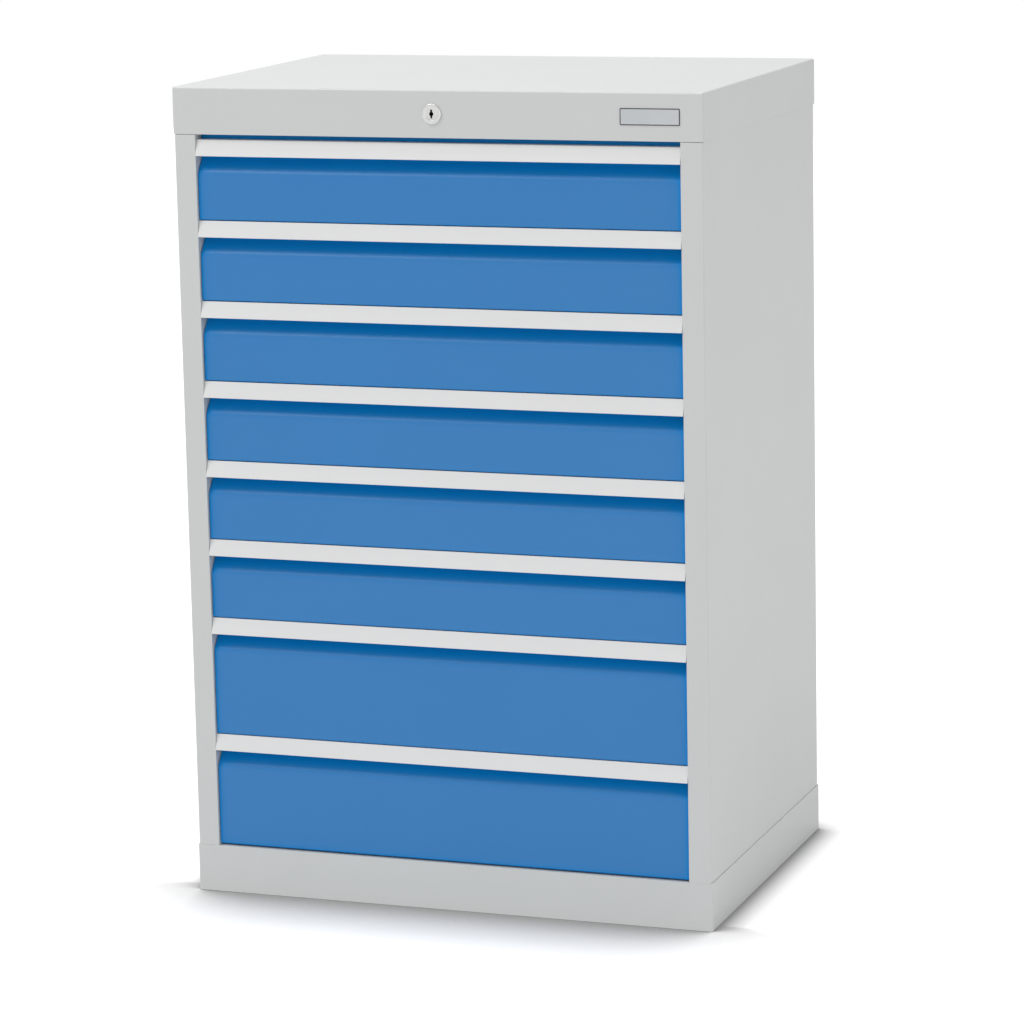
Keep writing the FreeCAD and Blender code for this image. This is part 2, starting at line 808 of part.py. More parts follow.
def make_lock_nut():
    """Hexagon nut that clamps the housing to the rail."""
    body = new_body("lock_nut")
    hexagon = hexagon_loop(dim("lock_nut_half_flat"))
    start = FRONT + dim("cover_sheet")
    thickness = dim("lock_nut_thickness")
    add_prism(body, "Pad", "hexagon", "Y", start, thickness, [hexagon])
    bore = [((0, 0), dim("lock_nut_bore_radius"))]
    add_prism(body, "Pocket", "bore", "Y", start, thickness, circles=bore)
    bind(body, "Placement.Base.z", dim("lock_height"))
    return body


def involute_angle(radius, base_radius):
    """Polar angle of an involute at the radius, from where it leaves the base circle."""
    roll = math.sqrt(max((radius / base_radius) ** 2 - 1.0, 0.0))
    return roll - math.atan(roll)


def pinion_gap_face():
    """Face of one tooth gap of the pinion, around +X, in the plane of the gear."""
    module = dim("tooth_module").value
    teeth = dim("pinion_teeth").value
    pressure = math.radians(dim("pressure_angle").value)
    pitch_radius = module * teeth / 2
    base_radius = pitch_radius * math.cos(pressure)
    root_radius = pitch_radius - ROOT_IN_MODULES * module
    open_radius = pitch_radius + CUT_IN_MODULES * module
    half_gap = math.pi / (2 * teeth) + dim("backlash").value / (2 * pitch_radius)
    at_pitch = involute_angle(pitch_radius, base_radius)

    def flank_point(radius, side):
        angle = half_gap + involute_angle(radius, base_radius) - at_pitch
        return FreeCAD.Vector(radius * math.cos(angle), 0, side * radius * math.sin(angle))

    edges = []
    for side in (1, -1):
        start, middle, end = (
            flank_point(radius, side)
            for radius in (base_radius, (base_radius + open_radius) / 2, open_radius)
        )
        edges.append(Part.Arc(start, middle, end).toShape())
        foot = FreeCAD.Vector(root_radius, 0, start.z)
        edges.append(Part.makeLine(foot, start))
    feet = [FreeCAD.Vector(root_radius, 0, flank_point(base_radius, side).z) for side in (1, -1)]
    crests = [flank_point(open_radius, side) for side in (1, -1)]
    edges.append(Part.makeLine(*feet))
    edges.append(Part.makeLine(*crests))
    return Part.Face(Part.Wire(Part.__sortEdges__(edges)))


def make_lock_shaft():
    """Shaft from the plug to the rear: a coupling sleeve, a rod and the pinion near its end."""
    start = FRONT + dim("lock_barrel_length")
    tail = dim("plug_tail_radius")
    rod = dim("shaft_radius")
    end = dim("shaft_end")
    module = dim("tooth_module")
    tip = module * dim("pinion_teeth") / 2 + module
    sleeve = tail + dim("sleeve_wall")
    sleeve_start = start + dim("sleeve_gap")
    sleeve_end = sleeve_start + dim("sleeve_length")
    seat = start + dim("plug_tail_length")
    profile = [
        (0, seat), (tail, seat), (tail, sleeve_start), (sleeve, sleeve_start), (sleeve, sleeve_end),
        (rod, sleeve_end), (rod, dim("pinion_start")), (tip, dim("pinion_start")),
        (tip, dim("pinion_end")), (rod, dim("pinion_end")), (rod, end), (0, end),
    ]
    blank = turned("lock_shaft_blank", profile)
    near = dim("pinion_start").value
    width = dim("pinion_end").value - near
    gap = pinion_gap_face().extrude(FreeCAD.Vector(0, width, 0))
    gap.translate(FreeCAD.Vector(0, near, 0))
    teeth = int(dim("pinion_teeth").value)
    gaps = []
    for step in range(teeth):
        turned_gap = gap.copy()
        turned_gap.rotate(FreeCAD.Vector(0, 0, 0), Y_AXIS, 360.0 * step / teeth)
        gaps.append(turned_gap)
    node = DOC.addObject("Part::Feature", "lock_shaft")
    node.Label = "lock_shaft"
    at_origin = moved(blank.Shape, z=-dim("lock_height"))
    node.Shape = at_origin.cut(Part.makeCompound(gaps)).removeSplitter()
    bind(node, "Placement.Base.z", dim("lock_height"))
    return node


def rack_root():
    """Distance of the rack's root line from the shaft's axis, which is also the bar's near edge."""
    module = dim("tooth_module")
    return module * dim("pinion_teeth") / 2 + ROOT_IN_MODULES * module


def lock_bar_outline():
    """Corners (x, z) of the lock bar, with the rack teeth that the pinion turns against."""
    module = dim("tooth_module").value
    pitch = math.pi * module
    pitch_line = module * dim("pinion_teeth").value / 2
    root = rack_root().value
    tip = pitch_line - module
    slope = math.tan(math.radians(dim("pressure_angle").value))
    at_root = pitch / 4 + (root - pitch_line) * slope
    at_tip = pitch / 4 - (pitch_line - tip) * slope
    right = root + dim("bar_width").value
    bottom = dim("bar_bottom").value
    top = dim("bar_top").value

    outline = [(root, bottom)]
    for number in RACK_TEETH:
        middle = dim("lock_height").value + pitch * number
        outline += [(root, middle - at_root), (tip, middle - at_tip)]
        outline += [(tip, middle + at_tip), (root, middle + at_root)]
    return outline + [(root, top), (right, top), (right, bottom)]


def make_lock_bar():
    """Lock bar: a strip with rack teeth beside the pinion, and one welded lug for each drawer."""
    near = dim("bar_near").value
    thickness = dim("bar_far").value - near
    corners = [FreeCAD.Vector(x, near, z) for x, z in lock_bar_outline()]
    strip = Part.Face(Part.makePolygon(corners + corners[:1]))
    shapes = [strip.extrude(FreeCAD.Vector(0, thickness, 0))]
    reach = dim("lug_reach").value
    width = rack_root().value - reach
    for level, _ in LEVELS:
        low = level + dim("catch_height") + dim("lug_above_catch")
        corner = FreeCAD.Vector(reach, near, low.value)
        shapes.append(Part.makeBox(width, thickness, dim("lug_height").value, corner))
    return group_node("lock_bar", shapes)


def make_lock_guides():
    """Three brackets on the rear panel, each with a window that the lock bar slides through."""
    inner_face = dim("rear_panel_face") - dim("panel_sheet")
    gap = dim("guide_gap")
    margin = dim("guide_margin")
    sheet = dim("guide_sheet")
    left = rack_root()
    right = left + dim("bar_width")
    near = dim("bar_near")
    body = new_body("lock_guide")
    shelf = box_loop((left - margin, near - margin), (right + margin, inner_face))
    window = box_loop((left - gap, near - gap), (right + gap, dim("bar_far") + gap))
    foot = box_loop((left - margin, inner_face - sheet), (right + margin, inner_face))
    add_prism(body, "Pad", "shelf", "Z", 0, sheet, [shelf, window])
    add_prism(body, "Pad", "foot", "Z", sheet, dim("guide_foot"), [foot])
    heights = [dim(name) for name in ("guide_low", "guide_middle", "guide_high")]
    return group_node("lock_guides", [moved(body.Shape, z=height) for height in heights])


def make_shaft_bearing():
    """Bearing bracket on the rear panel, with the running bore for the shaft's rear end."""
    inner_face = dim("rear_panel_face") - dim("panel_sheet")
    sheet = dim("bearing_sheet")
    half = dim("bearing_half_width")
    below = dim("bearing_below")
    near = dim("shaft_end") - dim("bearing_overhang")
    body = new_body("shaft_bearing")
    plate = box_loop((-half, -below), (half, half))
    arm = box_loop((-half, -below), (half, sheet - below))
    add_prism(body, "Pad", "arm", "Y", near, inner_face - near, [arm])
    add_prism(body, "Pad", "plate", "Y", near, sheet, [plate])
    bore = [((0, 0), dim("shaft_bore_radius"))]
    add_prism(body, "Pocket", "bore", "Y", near, sheet, circles=bore)
    bind(body, "Placement.Base.z", dim("lock_height"))
    return body


# ----------------------------------------------------------------------------- build and export


def make_left_side_panel(right_panel):
    """The left side panel mirrors the right one."""
    mirror = DOC.addObject("Part::Mirroring", "left_side_panel")
    mirror.Label = "left_side_panel"
    mirror.Source = right_panel
    mirror.Normal = X_AXIS
    return mirror


def build():
    """Make every sub-part and return the nodes to export."""
    right_panel = make_right_side_panel()
    drawer_rail = make_rail_body(
        "drawer_rail", dim("tray_half_width"), dim("drawer_rail_face"), dim("drawer_rail_half"),
        dim("moving_rail_sheet"), dim("drawer_rail_start"), dim("drawer_rail_length"),
    )
    middle_rail = make_rail_body(
        "middle_rail", dim("middle_rail_inner"), dim("middle_rail_face"), dim("middle_rail_half"),
        dim("moving_rail_sheet"), dim("middle_rail_start"), dim("middle_rail_length"),
    )
    nodes = [
        make_top_cover(),
        make_front_rail_stiffener(),
        make_cover_tongues(),
        make_base_plinth(),
        right_panel,
        make_left_side_panel(right_panel),
        make_rear_panel(),
        make_rear_screws(),
        make_name_plate(),
        make_runner_uprights(),
        make_cabinet_runners(),
        make_lock_housing(),
        make_lock_plug(),
        make_lock_nut(),
        make_lock_shaft(),
        make_lock_bar(),
        make_lock_guides(),
        make_shaft_bearing(),
    ]
    nodes += make_drawers(drawer_rail, middle_rail)
    DOC.recompute()
    return nodes


def check(nodes):
    """Stop on any failed feature or invalid sub-part."""
    for item in DOC.Objects:
        if "Invalid" in item.State or "Error" in item.State:
            raise RuntimeError(f"{item.Name} failed: {item.State}")
    for node in nodes:
        shape = node.Shape
        if shape.isNull() or not shape.isValid() or not shape.Solids:
            raise RuntimeError(f"{node.Label} has no valid solid")


def export(nodes):
    """Write each sub-part to its own STEP file, named by its label."""
    os.makedirs(OUTPUT_FOLDER, exist_ok=True)
    for node in nodes:
        node.Shape.exportStep(os.path.join(OUTPUT_FOLDER, f"{node.Label}.step"))


def main():
    """Build, check and export the cabinet."""
    nodes = build()
    check(nodes)
    export(nodes)
    solids = sum(len(node.Shape.Solids) for node in nodes)
    print(f"{len(nodes)} sub-parts, {solids} solids")


main()
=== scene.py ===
"""Looks of the reagent drawer cabinet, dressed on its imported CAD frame.

Lengths are in metres in the CAD's own frame: +Z up, the drawer fronts face -Y, and the floor is at z = 0.
"""
import logging
import math
from abc import ABC, abstractmethod
from collections.abc import Iterable, Sequence
from dataclasses import dataclass
from enum import Enum

import bmesh
import bpy
from mathutils import Matrix, Vector


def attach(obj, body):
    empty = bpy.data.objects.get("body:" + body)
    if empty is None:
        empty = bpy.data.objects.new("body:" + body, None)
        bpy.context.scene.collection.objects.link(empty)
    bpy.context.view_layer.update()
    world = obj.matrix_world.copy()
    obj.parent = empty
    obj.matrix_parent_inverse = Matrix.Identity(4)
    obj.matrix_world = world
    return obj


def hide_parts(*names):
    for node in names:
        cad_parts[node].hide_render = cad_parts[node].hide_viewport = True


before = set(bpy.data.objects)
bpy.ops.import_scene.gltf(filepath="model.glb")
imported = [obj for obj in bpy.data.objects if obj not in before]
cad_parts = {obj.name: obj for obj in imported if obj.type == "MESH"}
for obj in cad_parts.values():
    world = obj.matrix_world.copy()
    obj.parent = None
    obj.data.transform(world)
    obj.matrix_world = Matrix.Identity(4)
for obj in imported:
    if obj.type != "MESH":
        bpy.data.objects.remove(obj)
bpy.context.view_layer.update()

LOG = logging.getLogger("cabinet")
MM = 0.001
DRAWER_COUNT = 8
LOW_DRAWERS = 6
LOW_FRONT = 100 * MM
HIGH_FRONT = 150 * MM
GRID_TOP = 954.4 * MM
FRONT_PLANE = -243 * MM
SAME_PLACE = 0.005 * MM
FLAT_ANGLE = math.radians(0.4)
ARC_STEP = math.radians(15)
NOISE_RANGE = (0.3, 0.7)
LINE_RANGE = (0.25, 0.75)
SKY_SAMPLES = 16
COAT_IOR = 1.5

Point = tuple[float, float]
Triple = tuple[float, float, float]
Socket = bpy.types.NodeSocket
Tree = bpy.types.NodeTree
Mesh = bpy.types.Mesh
Piece = bpy.types.Object
Form = bmesh.types.BMesh


# ---------------- nodes and colours


def linear(code: str) -> tuple[float, float, float, float]:
    """Turn an sRGB hex colour into linear light.

    Args:
        code: The colour as "#RRGGBB".

    Returns:
        Red, green, blue and an alpha of 1.
    """
    shares = [int(code[start:start + 2], 16) / 255 for start in (1, 3, 5)]
    red, green, blue = (s / 12.92 if s <= 0.04045 else ((s + 0.055) / 1.055) ** 2.4 for s in shares)
    return red, green, blue, 1.0


def add_node(
    tree: Tree,
    kind: str,
    settings: dict[str, object] | None = None,
    inputs: dict[str | int, object] | None = None,
) -> bpy.types.Node:
    """Add a node with its settings and its links.

    Args:
        tree: The tree that gets the node.
        kind: Blender's name for the kind of node.
        settings: The node's own properties and their values.
        inputs: For an input's name or number, a constant, an output to link, or a list of outputs.

    Returns:
        The new node.
    """
    node = tree.nodes.new(kind)
    for name, value in (settings or {}).items():
        setattr(node, name, value)
    for key, value in (inputs or {}).items():
        for source in value if isinstance(value, list) else [value]:
            if isinstance(source, Socket):
                tree.links.new(source, node.inputs[key])
            else:
                node.inputs[key].default_value = source
    return node


def mixed(tree: Tree, factor: Socket, first: object, second: object) -> Socket:
    """Mix two colours.

    Args:
        tree: The tree that gets the node.
        factor: 0 for the first colour and 1 for the second.
        first: A colour or an output.
        second: The same.

    Returns:
        The mixed colour.
    """
    return add_node(tree, "ShaderNodeMix", {"data_type": "RGBA"}, {0: factor, 6: first, 7: second}).outputs[2]


def ranged(tree: Tree, value: Socket, given: Sequence[float], wanted: Sequence[object]) -> Socket:
    """Carry a value over from one range to another, and hold it at the range's ends.

    Args:
        tree: The tree that gets the node.
        value: The value.
        given: The two ends of its own range.
        wanted: The two ends of the new range, as numbers or outputs.

    Returns:
        The value in the new range.
    """
    return add_node(tree, "ShaderNodeMapRange", inputs={
        "Value": value, "From Min": given[0], "From Max": given[1], "To Min": wanted[0], "To Max": wanted[1],
    }).outputs["Result"]


class Axis(Enum):
    """An axis of the CAD frame, with the share of a pattern's scale that is kept along each axis."""

    X = (0.02, 1.0, 1.0)
    Y = (1.0, 0.02, 1.0)
    Z = (1.0, 1.0, 0.02)


# ---------------- finishes


@dataclass(frozen=True)
class Finish(ABC):
    """A real surface finish, built once as a node material of the same name."""

    name: str

    def material(self) -> bpy.types.Material:
        """Return the finish's material, made at its first use."""
        made = bpy.data.materials.get(self.name)
        if made is None:
            made = bpy.data.materials.new(self.name)
            made.use_nodes = True
            tree = made.node_tree
            tree.nodes.clear()
            shader = self.surface(tree, add_node(tree, "ShaderNodeTexCoord").outputs["Object"])
            add_node(tree, "ShaderNodeOutputMaterial", inputs={"Surface": shader})
        return made

    @abstractmethod
    def surface(self, tree: Tree, place: Socket) -> Socket:
        """Build the shader in the tree from the place on the piece, and return its output."""


@dataclass(frozen=True)
class PowderCoat(Finish):
    """Polyester powder baked on steel sheet: a satin skin with a fine orange peel.

    The eye gets an even, soft sheen that breaks up slightly, with no streaks and no sharp reflection.
    The real peel is about 1 mm across; it is drawn 2.6 mm across, as coarse as it needs to show at all.
    A strong colour also gets painted shade: in its recesses and corners, where an occlusion node finds little
    open sky, the colour is mixed towards a fuller one and the sheen is lowered, painted in for the light that
    goes from one coated face to the other.  It begins where less than open_share of the sky is seen and is
    full at the share set for full painted shade.
    """

    colour: str = "#CFD1D0"
    thin_colour: str = "#CACCCB"
    roughness: float = 0.46
    roughness_spread: float = 0.05
    peel_width: float = 2.6 * MM
    peel_depth: float = 0.035 * MM
    cloud_width: float = 170 * MM
    # Painted shade in recesses: its colour, the occlusion's reach, the shares of open sky where it starts and
    # is full, and its sheen.
    painted_shade_colour: str = ""
    painted_shade_reach: float = 30 * MM
    open_share: float = 0.97
    painted_shade_share: float = 0.75
    sheen: float = 0.5
    painted_shade_sheen: float = 0.15

    def surface(self, tree: Tree, place: Socket) -> Socket:
        """Orange peel as bump, and slow changes of film thickness as tint and gloss."""
        peel = add_node(tree, "ShaderNodeTexNoise", inputs={
            "Vector": place, "Scale": 1 / self.peel_width, "Detail": 1.5, "Roughness": 0.45,
        })
        cloud = add_node(tree, "ShaderNodeTexNoise", inputs={
            "Vector": place, "Scale": 1 / self.cloud_width, "Detail": 3.0, "Roughness": 0.6,
        })
        colour = mixed(tree, cloud.outputs["Fac"], linear(self.colour), linear(self.thin_colour))
        gloss = ranged(tree, peel.outputs["Fac"], NOISE_RANGE, (
            self.roughness - self.roughness_spread, self.roughness + self.roughness_spread,
        ))
        bump = add_node(tree, "ShaderNodeBump", inputs={
            "Height": peel.outputs["Fac"], "Distance": self.peel_depth, "Strength": 0.6,
        })
        sheen = self.sheen
        # Painted shade: where the occlusion finds less open sky, the colour turns fuller and the sheen drops.
        if self.painted_shade_colour:
            sky = add_node(tree, "ShaderNodeAmbientOcclusion", {"samples": SKY_SAMPLES}, {
                "Distance": self.painted_shade_reach,
            })
            deep = ranged(tree, sky.outputs["AO"], (self.open_share, self.painted_shade_share), (0.0, 1.0))
            colour = mixed(tree, deep, colour, linear(self.painted_shade_colour))
            sheen = ranged(tree, deep, (0.0, 1.0), (self.sheen, self.painted_shade_sheen))
        return add_node(tree, "ShaderNodeBsdfPrincipled", inputs={
            "Base Color": colour, "Roughness": gloss, "Normal": bump.outputs["Normal"],
            "IOR": COAT_IOR, "Specular IOR Level": sheen,
        }).outputs["BSDF"]


@dataclass(frozen=True)
class DrawnMetal(Finish):
    """Metal that was rolled or drawn through a die: fine lines along its length.

    The eye gets a soft highlight that is pulled out across the lines.  Rolling lines are 0.1 mm apart;
    they are drawn a millimetre apart, as coarse as they need to show.
    """

    colour: str = "#B9BDC1"
    dull_colour: str = "#A9ADB0"
    along: Axis = Axis.Y
    roughness: float = 0.36
    roughness_spread: float = 0.08
    line_width: float = 1.0 * MM
    line_depth: float = 0.01 * MM
    crystal_width: float = 9 * MM

    def surface(self, tree: Tree, place: Socket) -> Socket:
        """Lines as a noise pulled out along the piece, and zinc crystals or oxide as patches of tint."""
        pulled = add_node(tree, "ShaderNodeMapping", inputs={"Vector": place, "Scale": self.along.value})
        lines = add_node(tree, "ShaderNodeTexNoise", inputs={
            "Vector": pulled.outputs["Vector"], "Scale": 1 / self.line_width, "Detail": 2.0,
        })
        size = {"Vector": place, "Scale": 1 / self.crystal_width}
        crystals = add_node(tree, "ShaderNodeTexVoronoi", inputs=size)
        patch = add_node(tree, "ShaderNodeSeparateColor", inputs={"Color": crystals.outputs["Color"]})
        tint = mixed(tree, patch.outputs["Red"], linear(self.colour), linear(self.dull_colour))
        gloss = ranged(tree, lines.outputs["Fac"], LINE_RANGE, (
            self.roughness - self.roughness_spread, self.roughness + self.roughness_spread,
        ))
        bump = add_node(tree, "ShaderNodeBump", inputs={
            "Height": lines.outputs["Fac"], "Distance": self.line_depth, "Strength": 0.5,
        })
        return add_node(tree, "ShaderNodeBsdfPrincipled", inputs={
            "Base Color": tint, "Metallic": 1.0, "Roughness": gloss, "Normal": bump.outputs["Normal"],
        }).outputs["BSDF"]


@dataclass(frozen=True)
class CoatedExtrusion(Finish):
    """Aluminium drawn through a die and coated near-white: a smooth satin skin with faint long lines.

    The eye gets a flat pale strip whose sheen breaks into streaks along its length.  Die lines are
    0.2 mm apart; they are drawn 1.2 mm apart, as coarse as they need to show.
    """

    colour: str = "#E2E2E2"
    thin_colour: str = "#DEDEDE"
    along: Axis = Axis.X
    roughness: float = 0.38
    roughness_spread: float = 0.05
    line_width: float = 1.2 * MM
    line_depth: float = 0.012 * MM
    cloud_width: float = 120 * MM

    def surface(self, tree: Tree, place: Socket) -> Socket:
        """Die lines under the coat as bump and gloss, and slow changes of the coat as tint."""
        pulled = add_node(tree, "ShaderNodeMapping", inputs={"Vector": place, "Scale": self.along.value})
        lines = add_node(tree, "ShaderNodeTexNoise", inputs={
            "Vector": pulled.outputs["Vector"], "Scale": 1 / self.line_width, "Detail": 2.0,
        })
        cloud = add_node(tree, "ShaderNodeTexNoise", inputs={
            "Vector": place, "Scale": 1 / self.cloud_width, "Detail": 2.0,
        })
        tint = mixed(tree, cloud.outputs["Fac"], linear(self.colour), linear(self.thin_colour))
        gloss = ranged(tree, lines.outputs["Fac"], NOISE_RANGE, (
            self.roughness - self.roughness_spread, self.roughness + self.roughness_spread,
        ))
        bump = add_node(tree, "ShaderNodeBump", inputs={
            "Height": lines.outputs["Fac"], "Distance": self.line_depth, "Strength": 0.5,
        })
        return add_node(tree, "ShaderNodeBsdfPrincipled", inputs={
            "Base Color": tint, "Roughness": gloss, "Normal": bump.outputs["Normal"], "IOR": COAT_IOR,
        }).outputs["BSDF"]


@dataclass(frozen=True)
class TurnedMetal(Finish):
    """Nickel-plated zinc casting, turned on its face: rings round the lock's axis.

    The eye gets a bright satin disc with faint circles.  Tool marks are 0.2 mm apart; they are drawn
    0.8 mm apart, as coarse as they need to show.
    """

    colour: str = "#C6C6C5"
    smoothest: float = 0.22
    roughest: float = 0.42
    ring_width: float = 0.8 * MM
    ring_depth: float = 0.02 * MM
    centre_height: float = 990 * MM

    def surface(self, tree: Tree, place: Socket) -> Socket:
        """Rings as a noise of the distance from the lock's axis."""
        centred = add_node(tree, "ShaderNodeMapping", inputs={
            "Vector": place, "Location": (0.0, 0.0, -self.centre_height),
        })
        flat = add_node(tree, "ShaderNodeVectorMath", {"operation": "MULTIPLY"}, {
            0: centred.outputs["Vector"], 1: (1.0, 0.0, 1.0),
        })
        radius = add_node(tree, "ShaderNodeVectorMath", {"operation": "LENGTH"}, {0: flat.outputs[0]})
        rings = add_node(tree, "ShaderNodeTexNoise", {"noise_dimensions": "1D"}, {
            "W": radius.outputs["Value"], "Scale": 1 / self.ring_width, "Detail": 1.0,
        })
        gloss = ranged(tree, rings.outputs["Fac"], (0.0, 1.0), (self.smoothest, self.roughest))
        bump = add_node(tree, "ShaderNodeBump", inputs={
            "Height": rings.outputs["Fac"], "Distance": self.ring_depth, "Strength": 0.5,
        })
        return add_node(tree, "ShaderNodeBsdfPrincipled", inputs={
            "Base Color": linear(self.colour), "Metallic": 1.0, "Roughness": gloss,
            "Normal": bump.outputs["Normal"],
        }).outputs["BSDF"]


@dataclass(frozen=True)
class Enamel(Finish):
    """Baked enamel in a thin line: dark, with a dull gloss and a little dust.  Nearly black, the same finish
    also stands as painted shade on the walls of the lock's keyway.

    The eye gets a clean dark edge that is never pure black.
    """

    colour: str = "#1B1C1E"
    dust_colour: str = "#2E2F31"
    roughness: float = 0.4
    dust_width: float = 1.5 * MM

    def surface(self, tree: Tree, place: Socket) -> Socket:
        """Dust as a fine noise between two dark tints."""
        dust = add_node(tree, "ShaderNodeTexNoise", inputs={
            "Vector": place, "Scale": 1 / self.dust_width, "Detail": 2.0,
        })
        tint = mixed(tree, dust.outputs["Fac"], linear(self.colour), linear(self.dust_colour))
        return add_node(tree, "ShaderNodeBsdfPrincipled", inputs={
            "Base Color": tint, "Roughness": self.roughness, "IOR": COAT_IOR,
        }).outputs["BSDF"]


BODY_COAT = PowderCoat("light_grey_powder_coat_on_steel")
# The blue coat gets a painted shade colour in its grip recesses and corners.
FRONT_COAT = PowderCoat(
    "blue_powder_coat_on_steel", colour="#297ABB", thin_colour="#2576B7", roughness=0.42,
    painted_shade_colour="#0082CE",
)
TRAY_COAT = PowderCoat("pale_grey_powder_coat_on_tray_steel", colour="#C9CBCA", thin_colour="#C3C5C4")
HANDLE_COAT = CoatedExtrusion("near_white_coated_aluminium_extrusion")
RAIL_ZINC = DrawnMetal("zinc_plated_steel_rolled_lengthwise", along=Axis.Y)
UPRIGHT_ZINC = DrawnMetal("zinc_plated_steel_rolled_upright", along=Axis.Z)
LOCK_NICKEL = TurnedMetal("satin_nickel_plated_zinc_turned")
SCREW_ZINC = DrawnMetal("zinc_plated_screw_steel", along=Axis.Y, roughness=0.3, crystal_width=2 * MM)
PLATE_METAL = DrawnMetal(
    "satin_aluminium_plate_brushed", colour="#AEB1B4", dull_colour="#A8ABAE", along=Axis.X,
    roughness=0.42, line_width=0.7 * MM, crystal_width=40 * MM,
)
PLATE_BORDER = Enamel("dark_enamel_border")
# Painted shade: the keyway's walls get a near-black finish so the keyhole looks dark.
KEYWAY_PAINTED_SHADE = Enamel("keyway_painted_shade", colour="#040404", dust_colour="#0A0A0A", roughness=0.9)


# ---------------- meshes


def plain_mesh(name: str, form: Form) -> Mesh:
    """Turn a form into a mesh with nothing but its faces, and free the form.

    Args:
        name: The mesh's name.
        form: The edited form.

    Returns:
        The mesh, shaded smooth, its faces keeping their material numbers.
    """
    form.verts.index_update()
    mesh = bpy.data.meshes.new(name)
    faces = [[corner.index for corner in face.verts] for face in form.faces]
    mesh.from_pydata([vertex.co[:] for vertex in form.verts], [], faces)
    mesh.polygons.foreach_set("material_index", [face.material_index for face in form.faces])
    mesh.shade_smooth()
    form.free()
    return mesh


def merged_node(node: str) -> Form:
    """Copy a CAD node's loose triangles into one skin of flat faces."""
    form = bmesh.new()
    form.from_mesh(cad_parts[node].data)
    bmesh.ops.remove_doubles(form, verts=form.verts[:], dist=SAME_PLACE)
    bmesh.ops.dissolve_limit(form, angle_limit=FLAT_ANGLE, verts=form.verts[:], edges=form.edges[:])
    return form


def evaluated(holder: Piece, name: str) -> Mesh:
    """Turn an object with its modifiers into a plain mesh and remove the object.

    Args:
        holder: An object that only carries the modifiers.
        name: The new mesh's name.

    Returns:
        The finished mesh.
    """
    graph = bpy.context.evaluated_depsgraph_get()
    mesh = bpy.data.meshes.new_from_object(
        holder.evaluated_get(graph), preserve_all_data_layers=True, depsgraph=graph,
    )
    source = holder.data
    bpy.data.objects.remove(holder)
    bpy.data.meshes.remove(source)
    mesh.name = name
    return mesh


def holder_of(mesh: Mesh) -> Piece:
    """Put a mesh in the scene, to carry modifiers."""
    holder = bpy.data.objects.new(mesh.name + "_holder", mesh)
    bpy.context.scene.collection.objects.link(holder)
    return holder


def eased(mesh: Mesh, radius: float, segments: int = 2, angle: float = 32) -> Mesh:
    """Round a mesh's sharp edges and shade its flat faces flat.

    Args:
        mesh: The mesh, which is used up.
        radius: The width of the rounding; 0 leaves the edges sharp.
        segments: Steps in each rounding.
        angle: Edges that turn by more degrees than this are rounded, or stay sharp with no radius.

    Returns:
        The finished mesh.
    """
    name = mesh.name
    if not radius:
        mesh.set_sharp_from_angle(angle=math.radians(angle))
    holder = holder_of(mesh)
    if radius:
        bevel = holder.modifiers.new("edges", "BEVEL")
        bevel.width = radius
        bevel.segments = segments
        bevel.limit_method = "ANGLE"
        bevel.angle_limit = math.radians(angle)
        weld = holder.modifiers.new("doubles", "WELD")
        weld.merge_threshold = SAME_PLACE
    weighted = holder.modifiers.new("normals", "WEIGHTED_NORMAL")
    weighted.keep_sharp = not radius
    return evaluated(holder, name)


def rounded_loop(corners: Sequence[Triple]) -> list[Point]:
    """Round the corners of a closed outline.

    Args:
        corners: For each corner its two places and its radius; 0 keeps it sharp.

    Returns:
        The outline's points, with each arc in steps of at most ARC_STEP.
    """
    points: list[Point] = []
    for index, (first, second, radius) in enumerate(corners):
        here = Vector((first, second))
        if not radius:
            points.append((first, second))
            continue
        before = (Vector(corners[index - 1][:2]) - here).normalized()
        after = (Vector(corners[(index + 1) % len(corners)][:2]) - here).normalized()
        half = before.angle(after) / 2
        centre = here + (before + after).normalized() * (radius / math.sin(half))
        arm = here + before * (radius / math.tan(half)) - centre
        end = here + after * (radius / math.tan(half)) - centre
        turn = math.atan2(arm.x * end.y - arm.y * end.x, arm.dot(end))
        steps = max(2, math.ceil(abs(turn) / ARC_STEP))
        for step in range(steps + 1):
            spoke = centre + Matrix.Rotation(turn * step / steps, 2) @ arm
            points.append((spoke.x, spoke.y))
    return points


def rounded_rectangle(low: Point, high: Point, radius: float, steps: int = 4) -> list[Point]:
    """Points of a rectangle with rounded corners, the same number for any radius.

    Args:
        low: Its lowest corner.
        high: Its highest corner.
        radius: The corners' radius.
        steps: Straight pieces in each corner's arc.

    Returns:
        The points, from the corner at the high first and low second place onwards.
    """
    centres = (
        (high[0] - radius, low[1] + radius, -90), (high[0] - radius, high[1] - radius, 0),
        (low[0] + radius, high[1] - radius, 90), (low[0] + radius, low[1] + radius, 180),
    )
    points = []
    for first, second, start in centres:
        for step in range(steps + 1):
            angle = math.radians(start + 90 * step / steps)
            points.append((first + radius * math.cos(angle), second + radius * math.sin(angle)))
    return points


def stacked_rings(
    name: str, rings: Sequence[Sequence[Sequence[float]]], dark: Iterable[int] = (),
) -> Mesh:
    """Join rings of points into a closed skin, with a flat end at the first and the last ring.

    Args:
        name: The mesh's name.
        rings: Rings of equally many points (x, y, z).
        dark: Numbers of the bands between rings that take the second material.

    Returns:
        The mesh, its faces outward.
    """
    form = bmesh.new()
    rows = [[form.verts.new(point) for point in ring] for ring in rings]
    count = len(rows[0])
    for band, (row, following) in enumerate(zip(rows, rows[1:])):
        for index in range(count):
            after = (index + 1) % count
            face = form.faces.new((row[index], row[after], following[after], following[index]))
            face.material_index = int(band in set(dark))
    form.faces.new(rows[0])
    form.faces.new(rows[-1])
    bmesh.ops.recalc_face_normals(form, faces=form.faces[:])
    return plain_mesh(name, form)


